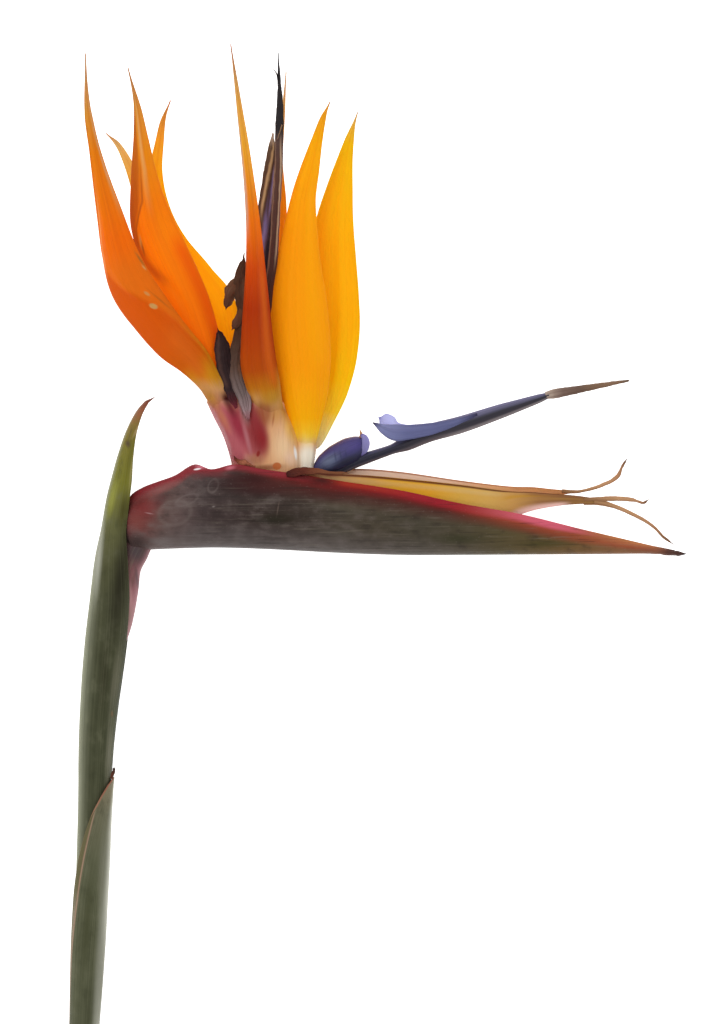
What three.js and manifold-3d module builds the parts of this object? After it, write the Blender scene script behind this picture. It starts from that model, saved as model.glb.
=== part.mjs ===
// A bird of paradise flower, cut and lying on its side: stem, two sheaths, the beak-like spathe,
// three opened florets with orange sepals, blue tongue and hood petal, and the withered petals.
// Millimetres, +Z up. The flower's side rests on Z = 0 and the beak points along +X.

import * as THREE from 'three';
import { mergeVertices } from 'three/addons/utils/BufferGeometryUtils.js';
import Module from 'manifold-3d';

const wasm = await Module();
wasm.setup();

// Places below are measured from the neck, where the stalk bends into the beak:
// x runs along the beak, y up the sepals, z up from the surface that the flower lies on.
// The origin of the part is the middle of its footprint.
const FOOTPRINT_CENTRE = new THREE.Vector2(69.9, -16);

// Driving dimensions
const CLEARANCE = 0.3; // between pieces that touch on the real flower
const BEAK_AXIS_Z = 8.8; // height of the beak's middle plane
const SPATHE_WALL = 1.2;
const SPATHE_FLOOR = 1.4;
const CAVITY_START_X = 19; // the spathe is closed from its heel to here
const CAVITY_END_X = 156;
const SHEATH_WALL = 0.65;
const SEPAL_RIDGE = 1.1; // thickness along the midrib
const SEPAL_EDGE = 0.62;
const PAPER = 0.64; // thickness of the dry bracts and petals

// Colours
const ORANGE = 0xf08a12;
const AMBER = 0xffa514;
const BURNT = 0xc8641a;
const WITHERED = 0x33211c;
const CLARET = 0x9c3f4c;
const CREAM = 0xe3c6a0;
const INDIGO = 0x403c7c;
const GREEN = 0x5b6140;
const BEAK_BROWN = 0x4d4540;
const TAN = 0xd2a774;
const UMBER = 0x87695a;

// Shape helpers

const UP = new THREE.Vector3(0, 0, 1);

// Smooth values between rows of numbers; the first three of a row are a place.
function rowsAlong(rows, steps) {
  const places = new THREE.CatmullRomCurve3(
    rows.map(([x, y, z]) => new THREE.Vector3(x, y, z)), false, 'centripetal');
  const extras = new THREE.CatmullRomCurve3(
    rows.map((row) => new THREE.Vector3(row[3] ?? 0, row[4] ?? 0, row[5] ?? 0)), false, 'centripetal');
  const samples = [];
  for (let i = 0; i <= steps; i += 1) {
    const t = i / steps;
    samples.push({
      t,
      place: places.getPoint(t),
      tangent: places.getTangent(t),
      extra: extras.getPoint(t).toArray(),
    });
  }
  return samples;
}

// The two directions across a run: side lies in the surface's plane, out points up from it.
function crossAxes(tangent, rollDegrees = 0) {
  const side = new THREE.Vector3().crossVectors(tangent, UP).normalize();
  const out = new THREE.Vector3().crossVectors(side, tangent).normalize();
  const roll = THREE.MathUtils.degToRad(rollDegrees);
  return { side: side.applyAxisAngle(tangent, roll), out: out.applyAxisAngle(tangent, roll) };
}

function signedVolume(vertices, triangles) {
  let volume = 0;
  for (const [a, b, c] of triangles) {
    volume += vertices[a].dot(vertices[b].clone().cross(vertices[c])) / 6;
  }
  return volume;
}

// Triangles that close a wrapped wall's end: its ring goes out along one face and back along the other.
function wallEnd(first, count) {
  const triangles = [];
  for (let i = 0; i + 1 < count / 2; i += 1) {
    const [a, b, c, d] = [i, i + 1, count - 2 - i, count - 1 - i].map((index) => first + index);
    triangles.push([a, c, b], [a, d, c]);
  }
  return triangles;
}

// A closed skin over rings of equal count. An end closes on the point given or on the ring's middle,
// or straight across the wall where the point is WALL.
const WALL = 'wall';

function loft(rings, startPoint, endPoint) {
  const count = rings[0].length;
  const lastRing = (rings.length - 1) * count;
  const middle = (ring) => ring.reduce((sum, p) => sum.add(p), new THREE.Vector3()).divideScalar(count);
  const vertices = rings.flat().map((p) => p.clone());
  const triangles = [];
  for (let i = 0; i < count; i += 1) {
    const next = (i + 1) % count;
    for (let r = 0; r + 1 < rings.length; r += 1) {
      const [a, b] = [r * count + i, r * count + next];
      triangles.push([a, b, a + count], [b, b + count, a + count]);
    }
  }
  for (const [point, ring, first, turned] of [
    [startPoint, rings[0], 0, false], [endPoint, rings.at(-1), lastRing, true]]) {
    const end = [];
    if (point === WALL) {
      end.push(...wallEnd(first, count));
    } else {
      const apex = vertices.push(point ?? middle(ring)) - 1;
      for (let i = 0; i < count; i += 1) end.push([apex, first + ((i + 1) % count), first + i]);
    }
    if (turned) end.forEach((triangle) => triangle.reverse());
    triangles.push(...end);
  }
  if (signedVolume(vertices, triangles) < 0) triangles.forEach((triangle) => triangle.reverse());
  const numbers = vertices.flatMap((p) => p.toArray());
  const geometry = new THREE.BufferGeometry();
  geometry.setAttribute('position', new THREE.Float32BufferAttribute(numbers, 3));
  geometry.setIndex(triangles.flat());
  return geometry;
}

// A thin blade's section: a middle line from edge to edge, thickened along its own normals.
// The midrib stands up by keel.
const BLADE_COLUMNS = [-1, -0.55, 0, 0.55, 1];
const KEEL_ROUNDNESS = 1.4; // 1 is a sharp roof, 2 a round one

function bladeSection(width, keel, ridge, edge) {
  const line = BLADE_COLUMNS.map((u) => (
    new THREE.Vector2(u * width / 2, keel * (1 - Math.abs(u) ** KEEL_ROUNDNESS))));
  const normals = line.map((point, i) => {
    const before = line[Math.max(i - 1, 0)];
    const after = line[Math.min(i + 1, line.length - 1)];
    const run = after.clone().sub(before).normalize();
    return new THREE.Vector2(-run.y, run.x);
  });
  const half = BLADE_COLUMNS.map((u) => (ridge + (edge - ridge) * Math.abs(u)) / 2);
  const top = line.map((point, i) => point.clone().addScaledVector(normals[i], half[i]));
  const bottom = line.map((point, i) => point.clone().addScaledVector(normals[i], -half[i]));
  return [...top, ...bottom.reverse()];
}

// A blade along rows of [x, y, z, width, keel, roll in degrees], from its root to its tip.
// Narrow stretches lose their keel and their margins' wave.
const KEELED_WIDTH = 5;
const WAVED_WIDTH = 8;
const WAVES_PER_BLADE = 2;
const MARGINS_OUT_OF_STEP = 0.9; // radians between the two margins' waves
const LEAST_WIDTH = 0.8;
const TIP_RUN = 0.7;

function blade(rows, { steps, ridge = SEPAL_RIDGE, edge = SEPAL_EDGE, grow = 0, wave = 0 } = {}) {
  const samples = rowsAlong(rows, steps ?? (rows.length - 1) * 2);
  const rings = samples.map(({ t, place, tangent, extra: [width, keel, roll] }) => {
    const { side, out } = crossAxes(tangent, roll);
    const breadth = Math.max(width, LEAST_WIDTH);
    const height = keel * Math.min(1, breadth / KEELED_WIDTH);
    const section = bladeSection(breadth + grow, height, ridge + grow, edge + grow);
    return section.map((point) => {
      const u = 2 * point.x / breadth;
      const phase = 2 * Math.PI * WAVES_PER_BLADE * t + (u > 0 ? MARGINS_OUT_OF_STEP : 0);
      const ripple = wave * Math.min(1, breadth / WAVED_WIDTH) * u * Math.abs(u) * Math.sin(phase);
      return place.clone().addScaledVector(side, point.x).addScaledVector(out, point.y + ripple);
    });
  });
  const [first, last] = [samples[0], samples.at(-1)];
  const rootPoint = first.place.clone().addScaledVector(first.tangent, -grow / 2);
  const tipPoint = last.place.clone().addScaledVector(last.tangent, TIP_RUN + grow / 2);
  return loft(rings, rootPoint, tipPoint);
}

// A fleshy limb along rows of [x, y, z, half height, half depth], with an oval section.
function limb(rows, { sides = 14, steps, grow = 0, endRun = 0.6 } = {}) {
  const samples = rowsAlong(rows, steps ?? (rows.length - 1) * 3);
  const [first, last] = [samples[0], samples.at(-1)];
  first.place.addScaledVector(first.tangent, -grow);
  last.place.addScaledVector(last.tangent, grow);
  const rings = samples.map(({ place, tangent, extra: [halfHeight, halfDepth] }) => {
    const { side, out } = crossAxes(tangent);
    return Array.from({ length: sides }, (_, i) => {
      const angle = 2 * Math.PI * i / sides;
      return place.clone()
        .addScaledVector(side, (halfHeight + grow) * Math.cos(angle))
        .addScaledVector(out, (halfDepth + grow) * Math.sin(angle));
    });
  });
  return loft(rings, undefined, last.place.clone().addScaledVector(last.tangent, endRun));
}

function solidOf(geometry) {
  const bare = new THREE.BufferGeometry();
  bare.setAttribute('position', geometry.getAttribute('position').clone());
  bare.setIndex(geometry.getIndex());
  const merged = mergeVertices(bare, 1e-4);
  return new wasm.Manifold(new wasm.Mesh({
    numProp: 3,
    vertProperties: new Float32Array(merged.getAttribute('position').array),
    triVerts: new Uint32Array(merged.getIndex().array),
  }));
}

function geometryOf(solid) {
  const mesh = solid.getMesh();
  const geometry = new THREE.BufferGeometry();
  geometry.setAttribute('position', new THREE.BufferAttribute(mesh.vertProperties, 3));
  geometry.setIndex(new THREE.BufferAttribute(mesh.triVerts, 1));
  return geometry;
}

function without(geometry, ...cutters) {
  return geometryOf(cutters.reduce((solid, cutter) => solid.subtract(solidOf(cutter)), solidOf(geometry)));
}

function joined(geometry, ...others) {
  return geometryOf(others.reduce((solid, other) => solid.add(solidOf(other)), solidOf(geometry)));
}

// Everything near the florets and below a level of y, to cut a blade off square above its base.
function belowLevel(y) {
  const size = 80;
  return new THREE.BoxGeometry(size, size, size).translate(size / 2, y - size / 2, BEAK_AXIS_Z);
}

const flower = new THREE.Group();
flower.position.set(-FOOTPRINT_CENTRE.x, -FOOTPRINT_CENTRE.y, 0);

function place(name, geometry, color, roughness) {
  const mesh = new THREE.Mesh(geometry, new THREE.MeshStandardMaterial({ color, roughness, metalness: 0 }));
  mesh.name = name;
  flower.add(mesh);
}

// Stalk: [x, y, z, half height, half depth] from the cut end to the bend under the beak
const STALK = [
  [-19.5, -184.2, 4.5, 2.5, 2.5],
  [-16.9, -139.2, 5.9, 2.6, 2.6],
  [-15.2, -102, 6.6, 3, 3],
  [-13.9, -72, 7.2, 3.3, 3.3],
  [-12, -42, 7.9, 4, 3.9],
  [-9.2, -27, 8.3, 4.1, 4],
  [-6.8, -18, 8.5, 4.1, 3.8],
  [-4.9, -9, 8.7, 4, 3.7],
  [-3.8, -2.5, 8.8, 4, 3.6],
  [-2, 2.5, 8.8, 4.6, 3.7],
  [0.6, 7, 8.8, 4, 3.5],
];

function stalk(grow = 0) {
  return limb(STALK, { sides: 16, grow, endRun: 0.4 });
}

// A sheath is a wrapped bract: rows of [x, y, z of its middle, radius, half angle it covers in degrees].
// back is the direction of its midrib round the stem, from +X.
const SHEATH_HALF_COLUMNS = 6;
const SHEATH_LEAST_BORE = 0.3;

function sheath(rows, back, steps, tip) {
  const rings = rowsAlong(rows, steps).map(({ place, tangent, extra: [radius, cover] }) => {
    const { side, out } = crossAxes(tangent);
    const arc = (r, reverse) => {
      const points = [];
      for (let i = -SHEATH_HALF_COLUMNS; i <= SHEATH_HALF_COLUMNS; i += 1) {
        const angle = THREE.MathUtils.degToRad(back + (cover * i) / SHEATH_HALF_COLUMNS);
        points.push(place.clone()
          .addScaledVector(side, r * Math.cos(angle))
          .addScaledVector(out, r * Math.sin(angle)));
      }
      return reverse ? points.reverse() : points;
    };
    return [...arc(radius, false), ...arc(Math.max(radius - SHEATH_WALL, SHEATH_LEAST_BORE), true)];
  });
  return loft(rings, WALL, tip);
}

// The upper sheath opens toward the beak; its free point stands beside the heel.
const UPPER_SHEATH = [
  [-19.5, -184.2, 4.5, 3.5, 174],
  [-16.9, -139.2, 5.9, 3.6, 174],
  [-15.2, -102, 6.6, 4.4, 174],
  [-14.3, -78, 7.1, 4.55, 174],
  [-13.7, -66, 7.3, 4.95, 174],
  [-13.1, -54, 7.6, 5.4, 172],
  [-12.1, -42, 7.9, 5.85, 170],
  [-10.4, -27, 8.3, 6.45, 160],
  [-8.5, -12, 8.7, 6.6, 138],
  [-7.3, 0, 8.8, 6.3, 122],
  [-5.8, 9, 8.8, 5.9, 108],
  [-4.2, 18, 8.9, 5.4, 99],
  [-2.7, 24, 9, 5, 96],
  [-1.4, 31, 9.2, 4.4, 90],
  [-0.1, 38, 9.4, 3.5, 84],
  [1.3, 43.5, 9.6, 2.2, 80],
  [2.9, 47, 9.8, 1.1, 76],
];
const UPPER_SHEATH_TIP = new THREE.Vector3(4.2, 48.9, 10);

// The lower sheath comes up the beak's side of the stem and laps round to the far side.
const LOWER_SHEATH = [
  [-19.5, -184.2, 4.5, 4.5, 172],
  [-16.9, -139.2, 5.9, 4.6, 172],
  [-16, -120, 6.3, 5.2, 166],
  [-15.2, -102, 6.6, 5.45, 154],
  [-14.7, -90, 6.8, 5.6, 132],
  [-14.4, -81, 7, 5.66, 107],
  [-14.2, -75, 7.1, 5.75, 86],
  [-14, -70.5, 7.2, 5.85, 64],
  [-13.9, -67, 7.3, 5.98, 40],
  [-13.8, -65, 7.35, 6.06, 16],
];

// Spathe: rows of [x, y of its keel, y of its rim, half depth, rim half width over half depth]
const SPATHE = [
  [-3.7, 8.8, 13, 3.2, 0.4],
  [-3.1, 5, 17.2, 5, 0.3],
  [-1.6, 3.2, 19.9, 6.4, 0.26],
  [1.4, 3, 21.9, 7.4, 0.24],
  [5, 3.2, 23.4, 8.1, 0.26],
  [10.5, 3.4, 25.4, 8.6, 0.34],
  [16.5, 3.6, 28.7, 8.9, 0.5],
  [21.5, 3.7, 27.2, 9, 0.74],
  [28.5, 3.6, 28.6, 9, 0.8],
  [37, 3.3, 27.2, 9, 0.8],
  [47, 2.8, 25.8, 8.9, 0.8],
  [60, 2.1, 23.7, 8.5, 0.78],
  [78, 1.5, 20.7, 7.6, 0.76],
  [96, 1.5, 16.5, 6.5, 0.76],
  [114, 1.6, 13.6, 5.2, 0.78],
  [132, 1.7, 9.4, 3.9, 0.78],
  [144, 1.8, 6.6, 2.9, 0.76],
  [153, 1.8, 4.4, 2, 0.7],
  [160.5, 1.7, 3, 1.2, 0.6],
];
const SPATHE_TIP = new THREE.Vector3(163.8, 2.1, BEAK_AXIS_Z);
const SPATHE_LEVELS = [0.04, 0.14, 0.28, 0.42, 0.58, 0.78, 1]; // heights of the section's corners
const BELLY_LEVEL = 0.5; // height of the widest place
const KEEL_SQUARENESS = 2.3; // 2 is a round keel
const SHOULDER_SQUARENESS = 1.8; // how late the sides turn in toward the rim
const CAVITY_RISE = 6; // how far the cutter stands above the rim
const THIN_END_WALL = 0.36; // the wall's share of the half depth near the tip
const THIN_END_FLOOR = 0.3; // the floor's share of the height near the tip

function spatheHalfWidth(level, halfDepth, rimShare) {
  if (level < BELLY_LEVEL) {
    return halfDepth * (1 - (1 - level / BELLY_LEVEL) ** KEEL_SQUARENESS) ** (1 / KEEL_SQUARENESS);
  }
  const rise = (level - BELLY_LEVEL) / (1 - BELLY_LEVEL);
  return halfDepth * (1 - (1 - rimShare) * rise ** SHOULDER_SQUARENESS);
}

function spatheRows() {
  return rowsAlong(SPATHE, 45)
    .map(({ place: { x, y: keel, z: rim }, extra: [depth, share] }) => ({ x, keel, rim, depth, share }));
}

function spatheRing({ x, keel, rim, depth, share }, { wall = 0, floor = 0, rise = 0 }) {
  const height = rim - keel;
  const sides = [];
  for (const level of SPATHE_LEVELS) {
    const inside = Math.max(spatheHalfWidth(level, depth, share) - wall, 0.25);
    const y = level === 1 ? rim : keel + Math.max(level * height, floor * (1 + level));
    sides.push([y, inside]);
  }
  if (rise > 0) sides.push([rim + rise, sides.at(-1)[1]]);
  const near = sides.map(([y, half]) => new THREE.Vector3(x, y, BEAK_AXIS_Z + half));
  const far = sides.map(([y, half]) => new THREE.Vector3(x, y, Math.max(BEAK_AXIS_Z - half, 0)));
  const bottom = new THREE.Vector3(x, keel + floor, BEAK_AXIS_Z);
  return [bottom, ...near, ...far.reverse()];
}

function spathe() {
  const rows = spatheRows();
  const outer = loft(rows.map((row) => spatheRing(row, {})), undefined, SPATHE_TIP.clone());
  const open = rows.filter(({ x }) => x > CAVITY_START_X && x < CAVITY_END_X);
  const cavity = loft(open.map((row) => {
    const wall = Math.min(SPATHE_WALL, row.depth * THIN_END_WALL);
    const floor = Math.min(SPATHE_FLOOR, (row.rim - row.keel) * THIN_END_FLOOR);
    return spatheRing(row, { wall, floor, rise: CAVITY_RISE });
  }));
  return without(outer, cavity, stalk(CLEARANCE));
}

// Floret bases: rows of [y, left x, right x, half depth], from the trough's floor up
const BASE_SQUARENESS = 0.75; // 1 is an oval section
const FLORET_BASES = {
  floret_base_left: {
    color: CLARET,
    rows: [
      [5.9, 31.4, 33.2, 1.2], [8, 30.9, 33.3, 3], [12, 30, 33.6, 4.6], [21, 28.8, 33, 5.2],
      [29.1, 27.9, 32.6, 5.5], [34.5, 27, 32.1, 6], [38.1, 25.8, 31.5, 6.4],
      [42.6, 23.4, 30.3, 6.8], [47.4, 20.9, 29.1, 7.1],
    ],
  },
  floret_base_middle: {
    color: CLARET,
    rows: [
      [5.6, 36, 40, 1.2], [8, 35, 41.6, 3], [12, 34.2, 43.8, 4.6], [21, 33.6, 46.2, 5.2],
      [29.1, 33.1, 47.1, 5.5], [36, 32.3, 46.2, 6.3], [42, 30.9, 44.1, 6.8], [46.8, 29.5, 42.2, 7],
    ],
  },
  floret_base_right: {
    color: CREAM,
    rows: [
      [5.4, 44.6, 46.4, 1.2], [8, 43.9, 48, 3], [12, 45.3, 50.1, 3.8], [21, 47.1, 51.3, 4.2],
      [28.2, 47.7, 52.4, 4.4], [31.5, 47.5, 53, 4.5], [34.2, 47.1, 54.6, 4.6],
    ],
  },
};

function floretBase(rows, grow = 0) {
  const stations = rowsAlong(rows.map(([y, left, right, depth]) => [left, y, right, depth]),
    (rows.length - 1) * 2);
  const sides = 16;
  const rings = stations.map(({ place: { x: left, y, z: right }, extra: [depth] }) => (
    Array.from({ length: sides }, (_, i) => {
      const angle = 2 * Math.PI * i / sides;
      const squared = (value) => Math.sign(value) * Math.abs(value) ** BASE_SQUARENESS;
      return new THREE.Vector3(
        (left + right) / 2 + ((right - left) / 2 + grow) * squared(Math.cos(angle)),
        y,
        BEAK_AXIS_Z + (depth + grow) * squared(Math.sin(angle)));
    })));
  return loft(rings);
}

// Sepals: rows of [x, y, z, width, keel, roll] from root to tip; base is the floret they grow from
const SEPALS = {
  sepal_left_front: {
    base: 'floret_base_left', color: ORANGE, wave: 0.5,
    rows: [
      [25.8, 45.5, 13.6, 5.4, 0.8, 0], [23.6, 49, 14.8, 6, 1, 0], [21.2, 53.1, 16.4, 7.2, 1.4, 0],
      [16.4, 59.6, 19.6, 10.1, 2.2, 0], [10.6, 65.1, 22.6, 12.2, 3, 0], [4.5, 72.6, 25.4, 13, 3.2, 0],
      [-1.2, 81, 27.6, 13.3, 3, -4], [-4.7, 90.4, 29.2, 10.9, 2.4, -8], [-7.5, 101.5, 30.6, 7.9, 1.6, -8],
      [-11.4, 118.4, 32, 3.8, 0.8, -6], [-13.9, 132.4, 32.6, 2.1, 0.4, 0], [-14.6, 148.7, 32.8, 0.9, 0, 0],
    ],
  },
  sepal_left_second: {
    base: 'floret_base_left', color: ORANGE, wave: 0.4,
    rows: [
      [25.9, 45.6, 10.4, 5.6, 0.8, 0], [25.3, 47.9, 11, 6.5, 1, 0], [23.2, 52.7, 12.2, 8, 1.2, 0],
      [20.3, 60.4, 14.2, 10.4, 1.6, 0], [17.4, 68.7, 16, 12.4, 2, 0], [14.5, 76.6, 17.4, 13.6, 2.2, 0],
      [11, 84.3, 18.6, 14.2, 2.2, 0], [7.5, 91.6, 19.6, 14.4, 2, 0], [4.2, 100.5, 20.4, 12.9, 1.6, 0],
      [2.1, 112.9, 21.4, 8.2, 1.4, 0], [1, 125.6, 22, 4.3, 0.9, 0], [-0.1, 135, 22.2, 2.1, 0.3, 0],
      [-2.7, 145.8, 22.2, 0.9, 0, 0],
    ],
  },
  sepal_left_third: {
    base: 'floret_base_left', color: AMBER, wave: 0.4,
    rows: [
      [26.4, 45.6, 7.4, 5.4, -0.6, 0], [26.2, 48, 7.4, 6, -0.8, 0], [25.2, 53, 7.8, 7.6, -1, 0],
      [23.8, 60, 8.6, 11.4, -1.2, 0], [22.4, 67, 9.4, 15.4, -1.4, 0], [20.2, 75.2, 10, 17.6, -1.4, 0],
      [15.8, 83.8, 10.4, 13.6, -1.4, 0], [9.8, 93, 10.8, 11, -1.2, 0], [6.6, 101.4, 11, 8, -1, 0],
      [5.1, 109.5, 11.2, 5.6, -0.8, 0], [4.9, 117, 11.2, 3.9, -0.5, 0], [6, 125.4, 11, 2.6, 0, 0],
      [7.1, 132, 10.6, 1.6, 0, 0], [9.1, 137.5, 10, 0.9, 0, 0],
    ],
  },
  sepal_left_back: {
    base: 'floret_base_left', color: AMBER, wave: 0.3,
    rows: [
      [26, 45.6, 4.6, 5, -0.6, 0], [25.4, 48.6, 4.5, 6, -0.8, 0], [21.3, 57.6, 4.3, 8, -1, 0],
      [16.8, 67.5, 4.2, 10, -1, 0], [12.3, 78, 4.1, 11.4, -1, 0], [7.2, 90, 4, 10.4, -1, 0],
      [3, 100.8, 3.7, 7.5, -0.8, 0], [-0.6, 111.3, 3.1, 4.5, -0.5, 0], [-3.9, 119.4, 2.2, 2.8, 0, 0],
      [-7.2, 125.4, 1.4, 1.6, 0, 0], [-10.7, 128.8, 0.56, 0.9, 0, 0],
    ],
  },
  sepal_middle_front: {
    base: 'floret_base_middle', color: BURNT, wave: 0.2,
    rows: [
      [38.9, 44.9, 14, 7.4, 1.4, 0], [38.3, 47.8, 15.2, 8.8, 2, 0], [37.2, 52.2, 16.6, 10.2, 2.8, 0],
      [35.9, 58.1, 18.4, 10.7, 3.4, 0], [35.5, 65.5, 20.2, 9.6, 3.6, 0], [35.3, 77.2, 22.6, 7.5, 3.4, 0],
      [35.1, 87, 24.2, 5.7, 3.2, 0], [34.6, 97.7, 25.6, 4.3, 3, 0], [33.4, 110.9, 27, 3.1, 2.8, 0],
      [32, 122.6, 28, 2.4, 2, 0], [30.6, 132.8, 28.8, 1.7, 1, 0], [29.3, 142.6, 29.4, 1.1, 0, 0],
      [28, 151.8, 29.8, 0.9, 0, 0],
    ],
  },
  sepal_middle_back: {
    base: 'floret_base_middle', color: ORANGE, wave: 0.2,
    rows: [
      [39.6, 45, 4.2, 5.4, -0.6, 0], [38.8, 51, 3.8, 6.4, -0.8, 0], [38.2, 60, 3.4, 7.8, -1, 0],
      [38.6, 72, 3.2, 7.8, -1, 0], [40.4, 84, 3.3, 6, -0.8, 0], [41.8, 96, 3.7, 4.4, -0.4, 0],
      [42.7, 108, 4.4, 2.9, 0, 0], [43, 120, 5.4, 2, 0, 0], [43.3, 132, 6.6, 1.4, 0, 0],
      [43.8, 146.4, 8.4, 0.9, 0, 0],
    ],
  },
  sepal_right_front: {
    base: 'floret_base_right', color: AMBER, wave: 0.3,
    rows: [
      [49.8, 32.4, 11, 4.9, 0.8, 0], [49.8, 36, 11.2, 6.6, 1.2, 0], [49.7, 42, 11.8, 9.9, 1.6, 0],
      [49.5, 49.5, 12.6, 13.8, 2.2, 0], [49.1, 58.5, 13.4, 16.4, 2.6, 0], [48.2, 67.5, 14, 17.7, 2.8, 0],
      [47.7, 77, 14.6, 17, 2.6, 0], [47.7, 87, 15.2, 13.8, 2.2, 0], [48.2, 97.5, 16, 10.5, 1.8, 0],
      [49.2, 108, 16.8, 7.4, 1.2, 0], [51, 116.1, 17.4, 5.8, 0.8, 0], [53.2, 125, 18, 3.4, 0.4, 0],
      [55.2, 132, 18.4, 1.8, 0, 0], [57, 136.2, 18.6, 0.9, 0, 0],
    ],
  },
  sepal_right_back: {
    base: 'floret_base_right', color: AMBER, wave: 0.3,
    rows: [
      [51.2, 32.4, 7, 4.9, -0.6, 0], [52, 36.6, 6.9, 6.4, -0.8, 0], [54, 43.5, 6.8, 9.6, -1, 0],
      [56, 51, 6.7, 12.6, -1.4, 0], [57.4, 60, 6.6, 15, -1.6, 0], [57.9, 70.5, 6.6, 16.2, -1.6, 0],
      [57.9, 81, 6.8, 15.4, -1.4, 0], [57.9, 91.5, 7.2, 13.8, -1.2, 0], [58.4, 101.5, 7.8, 11.4, -1, 0],
      [60, 112, 8.6, 7.8, -0.6, 0], [61.6, 120.5, 9.6, 4.6, -0.3, 0], [63.4, 128, 10.6, 2.2, 0, 0],
      [65.2, 133.8, 11.4, 0.9, 0, 0],
    ],
  },
};

// Withered petals of older florets, in rows like the sepals'
const WITHERED_PETALS = {
  dry_tongue_black: {
    base: 'floret_base_middle',
    rows: [
      [40, 45, 11.4, 2.6, 0.8, 0], [38.8, 56, 15, 2.8, 1, 0], [37.9, 68, 16.2, 2.8, 1.2, 0],
      [38.4, 78, 16.7, 2.8, 1.2, 0], [40.1, 90, 17.2, 2.8, 1.2, 0], [41, 105, 17.6, 2.6, 1.2, 0],
      [41.8, 117, 17.9, 2.4, 1, 0], [42, 128, 18, 2.5, 0.8, 0], [42.2, 136, 18, 2, 0.4, 0],
      [42, 142, 18, 1.1, 0, 0], [41.6, 150.8, 18, 0.9, 0, 0],
    ],
  },
  dry_tongue_brown: {
    base: 'floret_base_middle',
    rows: [
      [36, 45, 8.4, 2.6, 1, 0], [36.4, 56, 9.4, 3, 1.4, 0], [36.8, 68, 10.6, 3.2, 1.6, 0],
      [37.2, 80, 12, 3.8, 1.8, 0], [38.2, 92, 13, 4.8, 1.8, 0], [37.9, 104, 13.8, 4.8, 1.8, 0],
      [38.9, 114, 14.2, 4, 1.4, 0], [39.7, 121, 14.4, 2.8, 1, 0], [40.1, 125.8, 14.4, 1.4, 0.4, 0],
    ],
  },
  dry_petal_left: {
    base: 'floret_base_left',
    rows: [
      [28.3, 45.5, 12, 2.2, 0.2, 0], [27.5, 48.5, 13, 2.4, 0.3, 0], [26.6, 51.5, 13.9, 2.6, 0.3, 0],
      [25.8, 55, 14.9, 3, 0.4, 0], [25.1, 59.5, 16.2, 3.8, 0.8, 5], [24.7, 64, 17, 4, 1, 5],
      [24.2, 67, 17.4, 2.2, 0.4, 0], [23.8, 68.6, 17.5, 0.9, 0, 0],
    ],
  },
  dry_petal_twisted: {
    base: 'floret_base_middle',
    rows: [
      [32.8, 45, 11.6, 3, 0.6, 0], [31.6, 49, 12.9, 3.8, 0.8, 0], [30.2, 53.5, 13.8, 4, 0.8, 0],
      [29.5, 58, 14.8, 4.2, 1, 5], [29.5, 63, 15.8, 4, 1, 8], [30.1, 67.5, 16.8, 2.8, 0.8, 0],
      [31, 72.5, 17.6, 2.4, 0.6, 0], [31, 77, 18.2, 3, 0.8, 0], [30.4, 81, 18.4, 4.4, 1, 10],
      [30.5, 85, 18.6, 3.4, 1.2, 20], [31.2, 88.5, 18.8, 1.8, 0.8, 20], [31.7, 91, 19, 0.9, 0.3, 0],
    ],
    flap: [
      [30.6, 83.6, 18.6, 3.6, 0.6, 0], [28.5, 81, 18.4, 4.6, 0.8, 0], [27, 78, 18, 3.2, 0.6, 0],
      [26.2, 75.2, 17.8, 1.2, 0, 0],
    ],
  },
};

// Fresh tongue: the two fused blue petals, with the arrow's two barbs
const TONGUE_SHAFT = [
  [54.2, 23.6, 8.8, 1, 1.1], [58, 26, 9, 1.5, 1.3], [63, 28.6, 9.4, 1.7, 1.4], [68, 30.6, 9.9, 1.7, 1.5],
  [75, 33, 10.5, 1.5, 1.6], [80, 35, 11, 2.3, 1.9], [86, 37.8, 11.5, 2.7, 2], [96, 40.5, 12.2, 2.6, 1.8],
  [108, 44.5, 13, 2.2, 1.5], [116, 47.2, 13.5, 1.6, 1.2], [122, 49.4, 13.8, 0.8, 0.8],
];
const BARB_NEAR = [
  [87, 36.8, 12, 3.6, 0.6, 10], [82, 37.6, 12.5, 5.4, 0.8, 24], [77, 38.4, 13, 5.2, 0.8, 32],
  [73.4, 39.2, 13.4, 3, 0.6, 34], [70, 40.8, 13.6, 0.9, 0, 34],
];
const BARB_FAR = [
  [87, 37.4, 10.8, 3.4, 0.6, -10], [82, 38.8, 10.2, 4.6, 0.8, -24], [78, 40.2, 9.6, 4.4, 0.8, -32],
  [75, 41.6, 9.2, 2.8, 0.5, -34], [72.8, 42.8, 9, 1.2, 0, -34],
];

function freshTongue(grow = 0) {
  return joined(limb(TONGUE_SHAFT, { sides: 10, grow, steps: 20 }),
    blade(BARB_NEAR, { steps: 9, ridge: 1, edge: 0.7, grow }),
    blade(BARB_FAR, { steps: 9, ridge: 1, edge: 0.7, grow }));
}

// Fresh style, which leaves the tongue's point and ends in the brown stigma
const STYLE = [
  [123.2, 49.8, 13.9, 1.2, 0.9], [132, 51.2, 14.2, 1, 0.8], [138, 52.3, 14.4, 0.75, 0.6],
  [146, 53.6, 14.6, 0.36, 0.34],
];

// Hood petal over the nectary
const HOOD = [
  [52.7, 27, 9.3, 1.6, 1.4], [55.4, 29.4, 9.3, 3.5, 2.9], [58.8, 31.3, 9.4, 4.3, 3.4],
  [62.4, 32.9, 9.5, 4.2, 3.5], [65.4, 34.1, 9.6, 3.4, 3.2], [67.8, 35, 9.7, 2.1, 2.1],
];
const HOOD_SPUR = [[64.4, 36.2, 9.6, 0.7, 0.5], [66, 38.2, 9.6, 0.4, 0.4]];

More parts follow.
